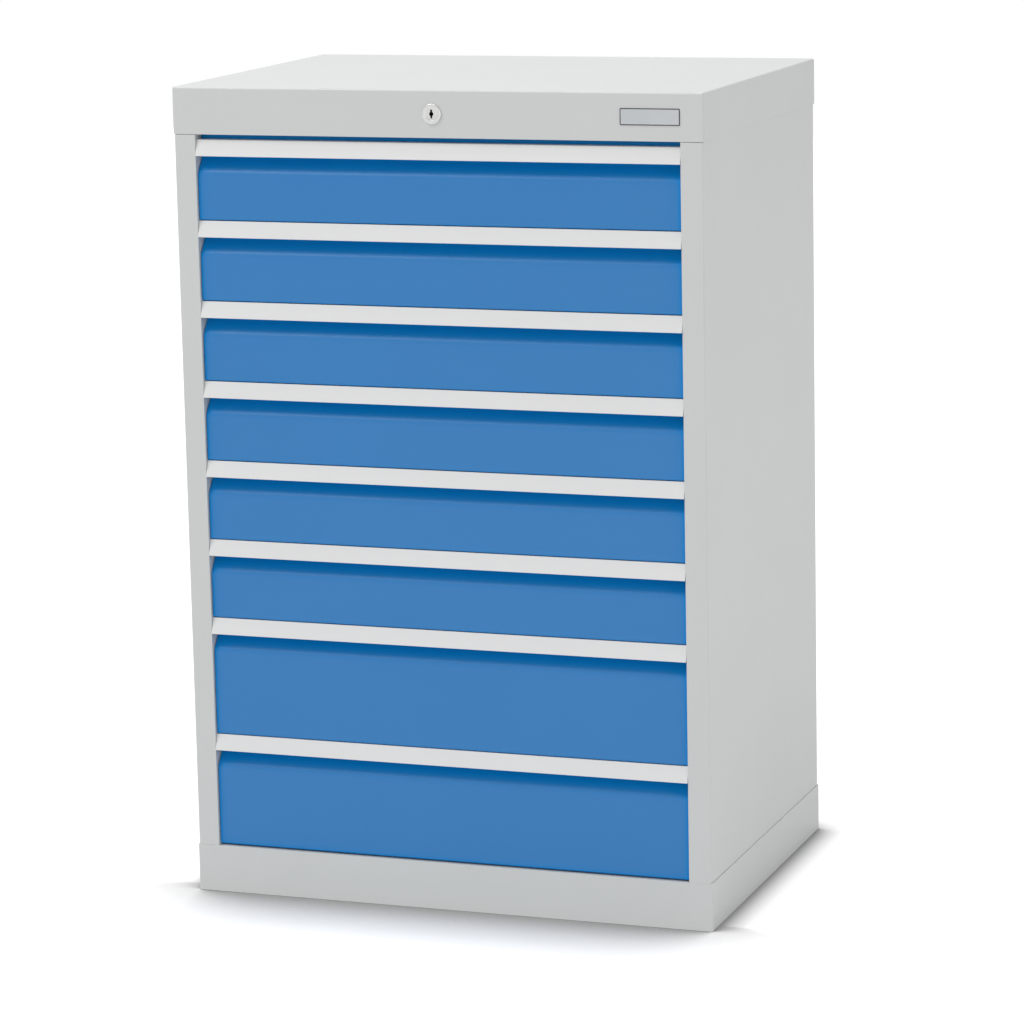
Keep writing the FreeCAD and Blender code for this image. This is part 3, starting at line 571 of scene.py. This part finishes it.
def turned_mesh(name: str, profile: Sequence[Point], height: float, steps: int = 72) -> Mesh:
    """Turn a closed profile about the lock's axis, which runs along Y at x = 0.

    Args:
        name: The mesh's name.
        profile: Points (radius, y), none of them on the axis.
        height: The axis's z.
        steps: Flat sides round the axis.

    Returns:
        The mesh, its faces outward.
    """
    form = bmesh.new()
    rows = []
    for step in range(steps):
        angle = math.tau * step / steps
        rows.append([
            form.verts.new((radius * math.cos(angle), y, height + radius * math.sin(angle)))
            for radius, y in profile
        ])
    for index, row in enumerate(rows):
        following = rows[(index + 1) % steps]
        for place in range(len(profile)):
            after = (place + 1) % len(profile)
            form.faces.new((row[place], row[after], following[after], following[place]))
    bmesh.ops.recalc_face_normals(form, faces=form.faces[:])
    return plain_mesh(name, form)


def place_piece(
    mesh: Mesh, finishes: Sequence[Finish], body: str, nodes: Sequence[str],
) -> Piece:
    """Make a finished mesh a piece of the cabinet.

    Args:
        mesh: The mesh, in its place; the piece takes its name.
        finishes: One finish for each of the mesh's material numbers.
        body: The CAD body it rides on.
        nodes: The CAD nodes it stands for.

    Returns:
        The piece.
    """
    piece = bpy.data.objects.new(mesh.name, mesh)
    bpy.context.scene.collection.objects.link(piece)
    numbers = [face.material_index for face in mesh.polygons]
    mesh.materials.clear()
    for finish in finishes:
        mesh.materials.append(finish.material())
    mesh.polygons.foreach_set("material_index", numbers)
    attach(piece, body)
    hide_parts(*nodes)
    return piece


def dress_node(node: str, finish: Finish) -> Piece:
    """Give a CAD node, whose own shape stays, its finish."""
    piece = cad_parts[node]
    if piece.material_slots:
        for holder in piece.material_slots:
            holder.material = finish.material()
    else:
        piece.data.materials.append(finish.material())
    return piece


# ---------------- geometry node trees


class PieceTree:
    """A Geometry Nodes tree with named inputs, built once and run on plain meshes."""

    def __init__(self, name: str, inputs: dict[str, str]) -> None:
        """Start the tree.

        Args:
            name: The tree's name.
            inputs: The socket type of each named input.
        """
        self.tree = bpy.data.node_groups.new(name, "GeometryNodeTree")
        sockets = self.tree.interface
        sockets.new_socket("Geometry", in_out="INPUT", socket_type="NodeSocketGeometry")
        sockets.new_socket("Geometry", in_out="OUTPUT", socket_type="NodeSocketGeometry")
        self.identifiers = {
            label: sockets.new_socket(label, in_out="INPUT", socket_type=kind).identifier
            for label, kind in inputs.items()
        }
        self.given = add_node(self.tree, "NodeGroupInput").outputs

    def line(self, shape: Socket, count: str, start: str, step: str) -> Socket:
        """Repeat a shape along a straight line.

        Args:
            shape: The geometry that repeats.
            count: The input that says how many.
            start: The input with the first place.
            step: The input with the vector to the next place.

        Returns:
            The instances.
        """
        points = add_node(self.tree, "GeometryNodeMeshLine", {"mode": "OFFSET"}, {
            "Count": self.given[count], "Start Location": self.given[start], "Offset": self.given[step],
        })
        return add_node(self.tree, "GeometryNodeInstanceOnPoints", inputs={
            "Points": points.outputs["Mesh"], "Instance": shape,
        }).outputs["Instances"]

    def close(self, geometry: Socket) -> None:
        """End the tree in Realize Instances and Set Material."""
        real = add_node(self.tree, "GeometryNodeRealizeInstances", inputs={"Geometry": geometry})
        painted = add_node(self.tree, "GeometryNodeSetMaterial", inputs={
            "Geometry": real.outputs["Geometry"], "Material": self.given["Finish"],
        })
        add_node(self.tree, "NodeGroupOutput", inputs={"Geometry": painted.outputs["Geometry"]})

    def run(self, mesh: Mesh, values: dict[str, object]) -> Mesh:
        """Run the tree on a mesh.

        Args:
            mesh: The mesh it starts from, which is used up.
            values: A value for each named input.

        Returns:
            The plain mesh that results.
        """
        holder = holder_of(mesh)
        modifier = holder.modifiers.new(self.tree.name, "NODES")
        modifier.node_group = self.tree
        for label, value in values.items():
            modifier[self.identifiers[label]] = value
        return evaluated(holder, mesh.name)


class SlotPunch(PieceTree):
    """Punches a row of upright slots through two opposite walls of a tray."""

    def __init__(self) -> None:
        """Build the tree."""
        super().__init__("tray_wall_slots", {
            "Slot size": "NodeSocketVector", "Count": "NodeSocketInt", "First place": "NodeSocketVector",
            "Pitch": "NodeSocketVector", "Finish": "NodeSocketMaterial",
        })
        punch = add_node(self.tree, "GeometryNodeMeshCube", inputs={"Size": self.given["Slot size"]})
        row = self.line(punch.outputs["Mesh"], "Count", "First place", "Pitch")
        real = add_node(self.tree, "GeometryNodeRealizeInstances", inputs={"Geometry": row})
        cut = add_node(self.tree, "GeometryNodeMeshBoolean", {"operation": "DIFFERENCE", "solver": "EXACT"}, {
            0: self.given["Geometry"], 1: real.outputs["Geometry"],
        })
        self.close(cut.outputs["Mesh"])


class ScrewRow(PieceTree):
    """Sets one screw after another along a line, twice."""

    def __init__(self) -> None:
        """Build the tree."""
        super().__init__("rear_panel_screws_a_side", {
            "Count": "NodeSocketInt", "Left start": "NodeSocketVector", "Right start": "NodeSocketVector",
            "Step": "NodeSocketVector", "Finish": "NodeSocketMaterial",
        })
        screw = self.given["Geometry"]
        rows = [self.line(screw, "Count", start, "Step") for start in ("Left start", "Right start")]
        both = add_node(self.tree, "GeometryNodeJoinGeometry", inputs={"Geometry": rows})
        self.close(both.outputs["Geometry"])


# ---------------- sub-assemblies


@dataclass
class Carcass:
    """Cover, side panels, plinth and rear panel with its screws."""

    cover_edge: float = 0.45 * MM
    panel_edge: float = 0.35 * MM
    screw_head_half_flat: float = 3.5 * MM
    screw_head_height: float = 1.5 * MM
    crown_share: float = 0.94
    dimple_shares: Triple = (0.55, 0.45, 0.82)
    screw_radius: float = 2 * MM
    screw_length: float = 6.5 * MM
    screw_first: float = 110 * MM
    screw_pitch: float = 400 * MM
    screw_side: float = 325.9 * MM
    screws_a_side: int = 3
    screw_steps: int = 24
    chamfer_angle: float = math.radians(30)
    rear_face: float = 243.4 * MM
    body: str = "cabinet"
    slot: str = "body_powder_coat"

    def sheet(self, node: str, edge: float) -> Piece:
        """A folded sheet part: the CAD shape with its coated edges rounded."""
        mesh = eased(plain_mesh(node + "_coated", merged_node(node)), edge)
        return place_piece(mesh, [BODY_COAT], self.body, [node])

    def screw_mesh(self) -> Mesh:
        """One hexagon-head screw with a chamfered crown, its head towards +Y from the origin."""
        sides = self.screw_steps
        flat = self.screw_head_half_flat
        height = self.screw_head_height
        crown = self.crown_share * flat
        dimple, dimple_floor, dimple_height = self.dimple_shares
        turns = [math.tau * side / sides for side in range(sides)]
        corners = [flat / math.cos(turn % (math.tau / 6) - math.tau / 12) for turn in turns]
        drops = [(corner - crown) * math.tan(self.chamfer_angle) for corner in corners]

        def ring(radii: Sequence[float], heights: Sequence[float]) -> list[Triple]:
            """A ring round the screw's axis, with a radius and a height for each side."""
            rows = zip(turns, radii, heights)
            return [(radius * math.cos(turn), y, radius * math.sin(turn)) for turn, radius, y in rows]

        def circle(radius: float, y: float) -> list[Triple]:
            """A round ring at one height."""
            return ring([radius] * sides, [y] * sides)

        rings = [
            circle(self.screw_radius, -self.screw_length), circle(self.screw_radius, 0),
            ring(corners, [0.0] * sides), ring(corners, [height - drop for drop in drops]),
            circle(crown, height), circle(dimple * flat, height),
            circle(dimple_floor * flat, dimple_height * height),
        ]
        return eased(stacked_rings("rear_panel_screws", rings), 0)

    def build(self) -> list[Piece]:
        """Make every carcass piece."""
        pieces = [self.sheet(node, self.cover_edge) for node in ("top_cover", "base_plinth")]
        panels = ("right_side_panel", "left_side_panel", "rear_panel")
        pieces += [self.sheet(node, self.panel_edge) for node in panels]
        pieces += [dress_node(node, BODY_COAT) for node in ("front_rail_stiffener", "cover_tongues")]
        screws = ScrewRow().run(self.screw_mesh(), {
            "Count": self.screws_a_side,
            "Left start": (-self.screw_side, self.rear_face, self.screw_first),
            "Right start": (self.screw_side, self.rear_face, self.screw_first),
            "Step": (0.0, 0.0, self.screw_pitch),
            "Finish": SCREW_ZINC.material(),
        })
        pieces.append(place_piece(screws, [SCREW_ZINC], self.body, ["rear_screws"]))
        return pieces


@dataclass
class Runners:
    """Perforated uprights and the telescopic runners' rails."""

    edge: float = 0.3 * MM

    def rails(self, node: str, body: str) -> Piece:
        """A set of rolled rails: the CAD shape with its edges rounded."""
        mesh = eased(plain_mesh(node + "_rolled", merged_node(node)), self.edge, segments=1)
        return place_piece(mesh, [RAIL_ZINC], body, [node])

    def build(self) -> list[Piece]:
        """Make the uprights and all the rails."""
        pieces = [dress_node("runner_uprights", UPRIGHT_ZINC), self.rails("cabinet_runners", "cabinet")]
        for number in range(1, DRAWER_COUNT + 1):
            pieces.append(self.rails(f"drawer_{number}_rails_and_catch", f"drawer_{number}"))
            pieces.append(self.rails(f"drawer_{number}_middle_rails", f"drawer_{number}_telescope"))
        return pieces


@dataclass
class CentralLock:
    """Lock cylinder in the front rail, with the shaft and the toothed bar behind the drawers."""

    height: float = 990 * MM
    mouth: float = -245 * MM
    bore: float = 7.05 * MM
    flange_radius: float = 12.25 * MM
    barrel_radius: float = 9.5 * MM
    barrel_end: float = -217 * MM
    end_hole: float = 4.1 * MM
    end_wall: float = 3 * MM
    rim_radius: float = 0.9 * MM
    groove_width: float = 0.6 * MM
    groove_depth: float = 0.25 * MM
    groove_slope: float = 0.4 * MM
    groove_rim_radius: float = 0.2 * MM
    plug_edge: float = 0.12 * MM
    sharp_angle: float = 40
    keyway_reach: float = 5.6 * MM
    keyway_mouth: float = -244.4 * MM
    keyway_end: float = -230 * MM

    def housing(self) -> Piece:
        """The turned housing with its rounded flange."""
        inner = self.barrel_end - self.end_wall
        groove = self.mouth + self.groove_depth
        groove_end = self.bore + self.groove_width
        loop = rounded_loop([
            (self.bore, groove, 0), (groove_end, groove, 0),
            (groove_end + self.groove_slope, self.mouth, self.groove_rim_radius),
            (self.flange_radius, self.mouth, self.rim_radius),
            (self.flange_radius, FRONT_PLANE, 0), (self.barrel_radius, FRONT_PLANE, 0),
            (self.barrel_radius, self.barrel_end, 0), (self.end_hole, self.barrel_end, 0),
            (self.end_hole, inner, 0), (self.bore, inner, 0),
        ])
        mesh = eased(turned_mesh("lock_housing_turned", loop, self.height), 0, angle=self.sharp_angle)
        return place_piece(mesh, [LOCK_NICKEL], "cabinet", ["lock_housing"])

    def plug(self) -> Piece:
        """The plug: the CAD shape, with the walls of its keyway given a near-black finish as painted shade.
        """
        form = merged_node("lock_plug")
        for face in form.faces:
            centre = face.calc_center_median()
            off_axis = math.hypot(centre.x, centre.z - self.height)
            inside = self.keyway_mouth < centre.y < self.keyway_end
            face.material_index = int(inside and off_axis < self.keyway_reach)
        mesh = eased(plain_mesh("lock_plug_turned", form), self.plug_edge, segments=1)
        return place_piece(mesh, [LOCK_NICKEL, KEYWAY_PAINTED_SHADE], "lock_cylinder", ["lock_plug"])

    def build(self) -> list[Piece]:
        """Make the lock's pieces."""
        pieces = [self.housing(), self.plug()]
        pieces += [dress_node(node, RAIL_ZINC) for node in ("lock_nut", "lock_shaft", "shaft_bearing")]
        pieces += [dress_node(node, UPRIGHT_ZINC) for node in ("lock_bar", "lock_guides")]
        return pieces


@dataclass
class BlankPlate:
    """Blank plate at the right end of the front rail, with a dark border round a satin face."""

    low: Point = (237 * MM, 980 * MM)
    high: Point = (311 * MM, 1000 * MM)
    thickness: float = 0.8 * MM
    corner: float = 1.2 * MM
    edge: float = 0.2 * MM
    border: float = 1.0 * MM
    border_slope: float = 0.1 * MM
    face_drop: float = 0.12 * MM

    def ring(self, inset: float, y: float) -> list[Triple]:
        """A rounded rectangle inside the plate's outline, at one depth."""
        low = (self.low[0] + inset, self.low[1] + inset)
        high = (self.high[0] - inset, self.high[1] - inset)
        corner = max(self.corner - inset, self.edge)
        return [(x, y, z) for x, z in rounded_rectangle(low, high, corner)]

    def build(self) -> list[Piece]:
        """Make the plate."""
        front = FRONT_PLANE - self.thickness
        rings = [
            self.ring(0, FRONT_PLANE), self.ring(0, front + self.edge), self.ring(self.edge, front),
            self.ring(self.border, front),
            self.ring(self.border + self.border_slope, front + self.face_drop),
        ]
        mesh = eased(stacked_rings("blank_plate", rings, dark=(0, 1, 2, 3)), 0)
        return [place_piece(mesh, [PLATE_METAL, PLATE_BORDER], "cabinet", ["name_plate"])]


@dataclass
class Drawer:
    """One drawer: its bent front, its grip strip and its slotted tray."""

    number: int
    level: float
    height: float
    punch: SlotPunch
    sheet: float = 1.2 * MM
    front_half: float = 310 * MM
    handle_half: float = 310.6 * MM
    tray_half: float = 301 * MM
    tray_rear: float = 189.6 * MM
    setback: float = 4 * MM
    recess_depth: float = 18 * MM
    recess_start: float = 41 * MM
    recess_end: float = 23 * MM
    recess_bend: float = 10 * MM
    fold: float = 1.3 * MM
    back_fold: float = 0.5 * MM
    lip_radius: float = 0.3 * MM
    handle_height: float = 20 * MM
    handle_proud: float = 2 * MM
    handle_crest: float = 4.5 * MM
    handle_wall: float = 1.8 * MM
    handle_face_wall: float = 2 * MM
    handle_tab: float = 8 * MM
    nose_radius: float = 0.5 * MM
    crest_radius: float = 0.7 * MM
    inner_crest_radius: float = 0.8 * MM
    tab_radius: float = 0.4 * MM
    first_lip: float = 5.5 * MM
    plinth_top: float = 62 * MM
    front_gap: float = 1 * MM
    front_edge: float = 0.7 * MM
    strip_edge: float = 0.25 * MM
    sharp_angle: float = 50
    base_gap: float = 4 * MM
    rim_drop: float = 19.4 * MM
    slot_pitch: float = 25 * MM
    slot_width: float = 3 * MM
    slot_margin: float = 15 * MM
    slot_below_hem: float = 6 * MM
    slots_across: int = 23
    slots_deep: int = 15
    punch_reach: float = 10 * MM
    hem: float = 8 * MM
    hem_end: float = 0.3 * MM
    rim_round: Point = (0.5 * MM, 0.8 * MM)
    floor_round: Point = (0.4 * MM, 1.4 * MM)
    inside_round: float = 0.6 * MM
    tray_corner: float = 2.6 * MM
    least_corner: float = 0.4 * MM

    @property
    def body(self) -> str:
        """The drawer's CAD body."""
        return f"drawer_{self.number}"

    @property
    def top(self) -> float:
        """Height of the handle's top."""
        return self.level + self.height

    @property
    def bottom(self) -> float:
        """Height of the front's lower edge."""
        return max(self.level + self.front_gap, self.plinth_top)

    @property
    def wall_face(self) -> float:
        """The y of the recess's deep wall."""
        return FRONT_PLANE + self.recess_depth

    def strip(self, name: str, loop: Sequence[Point], half: float) -> Mesh:
        """A strip with a (y, z) outline between two ends."""
        rings = [[(x, y, z) for y, z in loop] for x in (-half, half)]
        return stacked_rings(name, rings)

    def front(self) -> Piece:
        """The front: one bent sheet whose face runs back into the grip recess."""
        face = FRONT_PLANE + self.setback
        back = self.wall_face + self.sheet
        lip = self.top + (self.first_lip if self.number == 1 else 0)
        loop = rounded_loop([
            (face, self.bottom, self.fold), (back, self.bottom, self.back_fold),
            (back, lip, self.lip_radius), (self.wall_face, lip, self.lip_radius),
            (self.wall_face, self.top - self.recess_end, self.recess_bend),
            (face, self.top - self.recess_start, self.recess_bend),
        ])
        strip = self.strip(self.body + "_bent_front", loop, self.front_half)
        mesh = eased(strip, self.front_edge, segments=3, angle=self.sharp_angle)
        return place_piece(mesh, [FRONT_COAT], self.body, [self.body + "_front"])

    def handle(self) -> Piece:
        """The grip strip: an extrusion whose flat face leans back."""
        nose = FRONT_PLANE - self.handle_proud
        crest = FRONT_PLANE + self.handle_crest
        wall = self.handle_wall
        face_wall = self.handle_face_wall
        low = self.top - self.handle_height
        lean = (crest - nose) / self.handle_height
        tab = self.top - self.handle_tab
        loop = rounded_loop([
            (nose, low, self.nose_radius), (crest, self.top, self.crest_radius),
            (self.wall_face, self.top, 0), (self.wall_face, tab, 0),
            (self.wall_face - wall, tab, self.tab_radius),
            (self.wall_face - wall, self.top - wall, self.nose_radius),
            (crest + face_wall - lean * wall, self.top - wall, self.inner_crest_radius),
            (nose + face_wall, low, self.nose_radius),
        ])
        strip = self.strip(self.body + "_grip_strip", loop, self.handle_half)
        mesh = eased(strip, self.strip_edge, angle=self.sharp_angle)
        return place_piece(mesh, [HANDLE_COAT], self.body, [self.body + "_handle"])

    def tray(self) -> Piece:
        """The tray: folded sheet with a hemmed rim and rows of slots for dividers."""
        front = self.wall_face + self.sheet
        floor = self.bottom + self.base_gap
        rim = self.top - self.rim_drop
        sheet = self.sheet

        def ring(inset: float, z: float) -> list[Triple]:
            """The tray's outline, moved inwards, at one height."""
            low = (inset - self.tray_half, front + inset)
            high = (self.tray_half - inset, self.tray_rear - inset)
            corner = max(self.tray_corner - inset, self.least_corner)
            return [(x, y, z) for x, y in rounded_rectangle(low, high, corner)]

        near, far = self.floor_round
        over, under = self.rim_round
        inside = self.inside_round
        rings = [
            ring(far, floor), ring(near, floor + near), ring(0, floor + far),
            ring(0, rim - under), ring(over, rim), ring(2 * sheet - over, rim),
            ring(2 * sheet, rim - under), ring(2 * sheet, rim - self.hem),
            ring(sheet, rim - self.hem - self.hem_end), ring(sheet, floor + sheet + inside),
            ring(sheet + inside, floor + sheet),
        ]
        mesh = stacked_rings(self.body + "_slotted_tray", rings)
        low, high = floor + self.slot_margin, rim - self.hem - self.slot_below_hem
        middle = (low + high) / 2
        long_x = 2 * self.tray_half + self.punch_reach
        long_y = self.tray_rear - front + self.punch_reach
        rows = (
            (self.slots_across, (self.slot_width, long_y, high - low), (1, 0)),
            (self.slots_deep, (long_x, self.slot_width, high - low), (0, 1)),
        )
        for count, size, (across, deep) in rows:
            reach = self.slot_pitch * (count - 1) / 2
            mesh = self.punch.run(mesh, {
                "Slot size": size, "Count": count,
                "First place": (-reach * across, (front + self.tray_rear) / 2 - reach * deep, middle),
                "Pitch": (self.slot_pitch * across, self.slot_pitch * deep, 0.0),
                "Finish": TRAY_COAT.material(),
            })
        mesh = eased(mesh, 0)
        return place_piece(mesh, [TRAY_COAT], self.body, [self.body + "_tray"])

    def build(self) -> list[Piece]:
        """Make the drawer's pieces."""
        return [self.front(), self.handle(), self.tray()]


# ---------------- studio


@dataclass(frozen=True)
class SoftLamp:
    """A square area lamp that looks at one point of the cabinet."""

    name: str
    place: Triple
    side: float
    watts: float
    target: Triple = (0.0, 0.0, 0.5)

    def build(self) -> None:
        """Hang the lamp."""
        lamp = bpy.data.lights.new(self.name, "AREA")
        lamp.energy = self.watts
        lamp.size = self.side
        holder = bpy.data.objects.new(self.name, lamp)
        holder.location = self.place
        towards = Vector(self.target) - Vector(self.place)
        holder.rotation_euler = towards.to_track_quat("-Z", "Y").to_euler()
        bpy.context.scene.collection.objects.link(holder)


@dataclass
class Studio:
    """Camera, lamps, white surroundings and a pale floor."""

    camera_place: Triple = (1.71689, -4.74934, 1.44222)
    camera_turn: float = 19.820
    camera_dip: float = 10.625
    camera_roll: float = -1.161
    camera_lens: float = 141.568
    camera_sensor: float = 36
    camera_shift: float = -0.02775
    ambient: float = 0.58
    floor_half: float = 9.0
    floor_drop: float = 0.2 * MM
    floor_colour: str = "#ECECEC"
    shadow_colour: str = "#9C9C9C"
    shadow_beside: float = 40 * MM
    shadow_in_front: float = 215 * MM
    shadow_turn: float = 30 * MM
    shadow_shares: tuple[float, float] = (0.5, 1.0)
    glow_distances: tuple[float, float] = (1.0, 4.0)
    glow_strengths: tuple[float, float] = (0.5, 0.75)
    lamps: tuple[SoftLamp, ...] = (
        SoftLamp("key_lamp_upper_left", (-2.34, -1.92, 4.71), 1.6, 88.0),
        SoftLamp("fill_lamp_right", (4.6, -0.9, 0.8), 2.4, 25.5, (0.0, 0.0, 0.1)),
        SoftLamp("top_lamp", (0.0, 0.0, 5.0), 1.0, 45.0),
        SoftLamp("front_lamp", (1.3, -5.4, 1.0), 2.4, 29.0, (0.0, 0.0, 0.2)),
    )

    def camera(self) -> None:
        """Set the camera up from its turn to the left, its dip and its roll, in degrees."""
        data = bpy.data.cameras.new("studio_camera")
        data.lens = self.camera_lens
        data.sensor_width = self.camera_sensor
        data.shift_y = self.camera_shift
        holder = bpy.data.objects.new("studio_camera", data)
        turn = Matrix.Rotation(math.radians(self.camera_turn), 3, "Z")
        dip = Matrix.Rotation(math.radians(90 - self.camera_dip), 3, "X")
        roll = Matrix.Rotation(math.radians(self.camera_roll), 3, "Z")
        holder.matrix_world = Matrix.Translation(self.camera_place) @ (turn @ dip @ roll).to_4x4()
        bpy.context.scene.collection.objects.link(holder)
        bpy.context.scene.camera = holder

    def seen_directly(self, tree: Tree) -> Socket:
        """1 for what the camera sees, or sees in metal or through glass, and 0 for light on the object."""
        path = add_node(tree, "ShaderNodeLightPath")
        sight = add_node(tree, "ShaderNodeMath", {"operation": "MAXIMUM"}, {
            0: path.outputs["Is Camera Ray"], 1: path.outputs["Is Glossy Ray"],
        })
        return add_node(tree, "ShaderNodeMath", {"operation": "MAXIMUM"}, {
            0: sight.outputs[0], 1: path.outputs["Is Transmission Ray"],
        }).outputs[0]

    def surroundings(self) -> None:
        """White to the camera and in metal, and a plain soft light on everything else."""
        world = bpy.data.worlds.new("white_studio")
        world.use_nodes = True
        tree = world.node_tree
        tree.nodes.clear()
        strength = ranged(tree, self.seen_directly(tree), (0.0, 1.0), (self.ambient, 1.0))
        white = (1.0, 1.0, 1.0, 1.0)
        light = add_node(tree, "ShaderNodeBackground", inputs={"Color": white, "Strength": strength})
        add_node(tree, "ShaderNodeOutputWorld", inputs={"Surface": light.outputs["Background"]})
        bpy.context.scene.world = world

    def floor(self) -> None:
        """A pale floor that looks as white as its surroundings and keeps the cabinet's shadow: the lamps'
        shadow falls on its matt part, and a contact shadow from an occlusion node is painted into its colour
        and glow where the camera or a reflection sees it.

        The painted contact shadow reaches further in front of the cabinet than beside it, and the glow grows
        with the distance from the cabinet, where the lamps no longer reach, so the floor ends in no horizon.
        """
        material = bpy.data.materials.new("pale_studio_floor")
        material.use_nodes = True
        tree = material.node_tree
        tree.nodes.clear()
        place = add_node(tree, "ShaderNodeTexCoord").outputs["Object"]
        depth = add_node(tree, "ShaderNodeSeparateXYZ", inputs={"Vector": place})
        reach = ranged(
            tree, depth.outputs["Y"], (FRONT_PLANE, FRONT_PLANE + self.shadow_turn),
            (self.shadow_in_front, self.shadow_beside),
        )
        # Painted contact shadow: the occlusion darkens the floor's colour where the camera or a reflection
        # sees it, while light falling on the cabinet sees the full floor colour.
        near = add_node(tree, "ShaderNodeAmbientOcclusion", {"samples": SKY_SAMPLES}, {"Distance": reach})
        open_sky = ranged(tree, near.outputs["AO"], self.shadow_shares, (0.0, 1.0))
        seen = self.seen_directly(tree)
        shade = ranged(tree, seen, (0.0, 1.0), (1.0, open_sky))
        tint = mixed(tree, shade, linear(self.shadow_colour), linear(self.floor_colour))
        matt = add_node(tree, "ShaderNodeBsdfDiffuse", inputs={"Color": tint})
        distance = add_node(tree, "ShaderNodeVectorMath", {"operation": "LENGTH"}, {0: place})
        glow = ranged(tree, distance.outputs["Value"], self.glow_distances, self.glow_strengths)
        # The same occlusion dims the glow, which paints the contact shadow into it.
        for factor in (open_sky, seen):
            product = add_node(tree, "ShaderNodeMath", {"operation": "MULTIPLY"}, {0: glow, 1: factor})
            glow = product.outputs[0]
        white = add_node(tree, "ShaderNodeEmission", inputs={"Strength": glow})
        both = add_node(tree, "ShaderNodeAddShader", inputs={
            0: matt.outputs["BSDF"], 1: white.outputs["Emission"],
        })
        add_node(tree, "ShaderNodeOutputMaterial", inputs={"Surface": both.outputs["Shader"]})
        half = self.floor_half
        mesh = bpy.data.meshes.new("studio_floor")
        corners = ((-half, -half), (half, -half), (half, half), (-half, half))
        mesh.from_pydata([(x, y, -self.floor_drop) for x, y in corners], [], [(0, 1, 2, 3)])
        mesh.materials.append(material)
        holder = bpy.data.objects.new("studio_floor", mesh)
        bpy.context.scene.collection.objects.link(holder)

    def build(self) -> None:
        """Set the studio up."""
        self.camera()
        self.surroundings()
        self.floor()
        for lamp in self.lamps:
            lamp.build()
        bpy.context.scene.view_settings.view_transform = "Standard"


# ---------------- the whole cabinet


def drawers() -> list[Drawer]:
    """The eight drawers from the top, each standing on the grid line of the next."""
    punch = SlotPunch()
    made = []
    level = GRID_TOP
    for number in range(1, DRAWER_COUNT + 1):
        height = LOW_FRONT if number <= LOW_DRAWERS else HIGH_FRONT
        level -= height
        made.append(Drawer(number, level, height, punch))
    return made


def main() -> None:
    """Build the studio and every sub-assembly in order."""
    logging.basicConfig(level=logging.INFO, format="%(message)s")
    Studio().build()
    for part in [Carcass(), Runners(), CentralLock(), BlankPlate(), *drawers()]:
        for piece in part.build():
            LOG.info("%s: %s, %d faces", type(part).__name__, piece.name, len(piece.data.polygons))


if __name__ == "__main__":
    main()
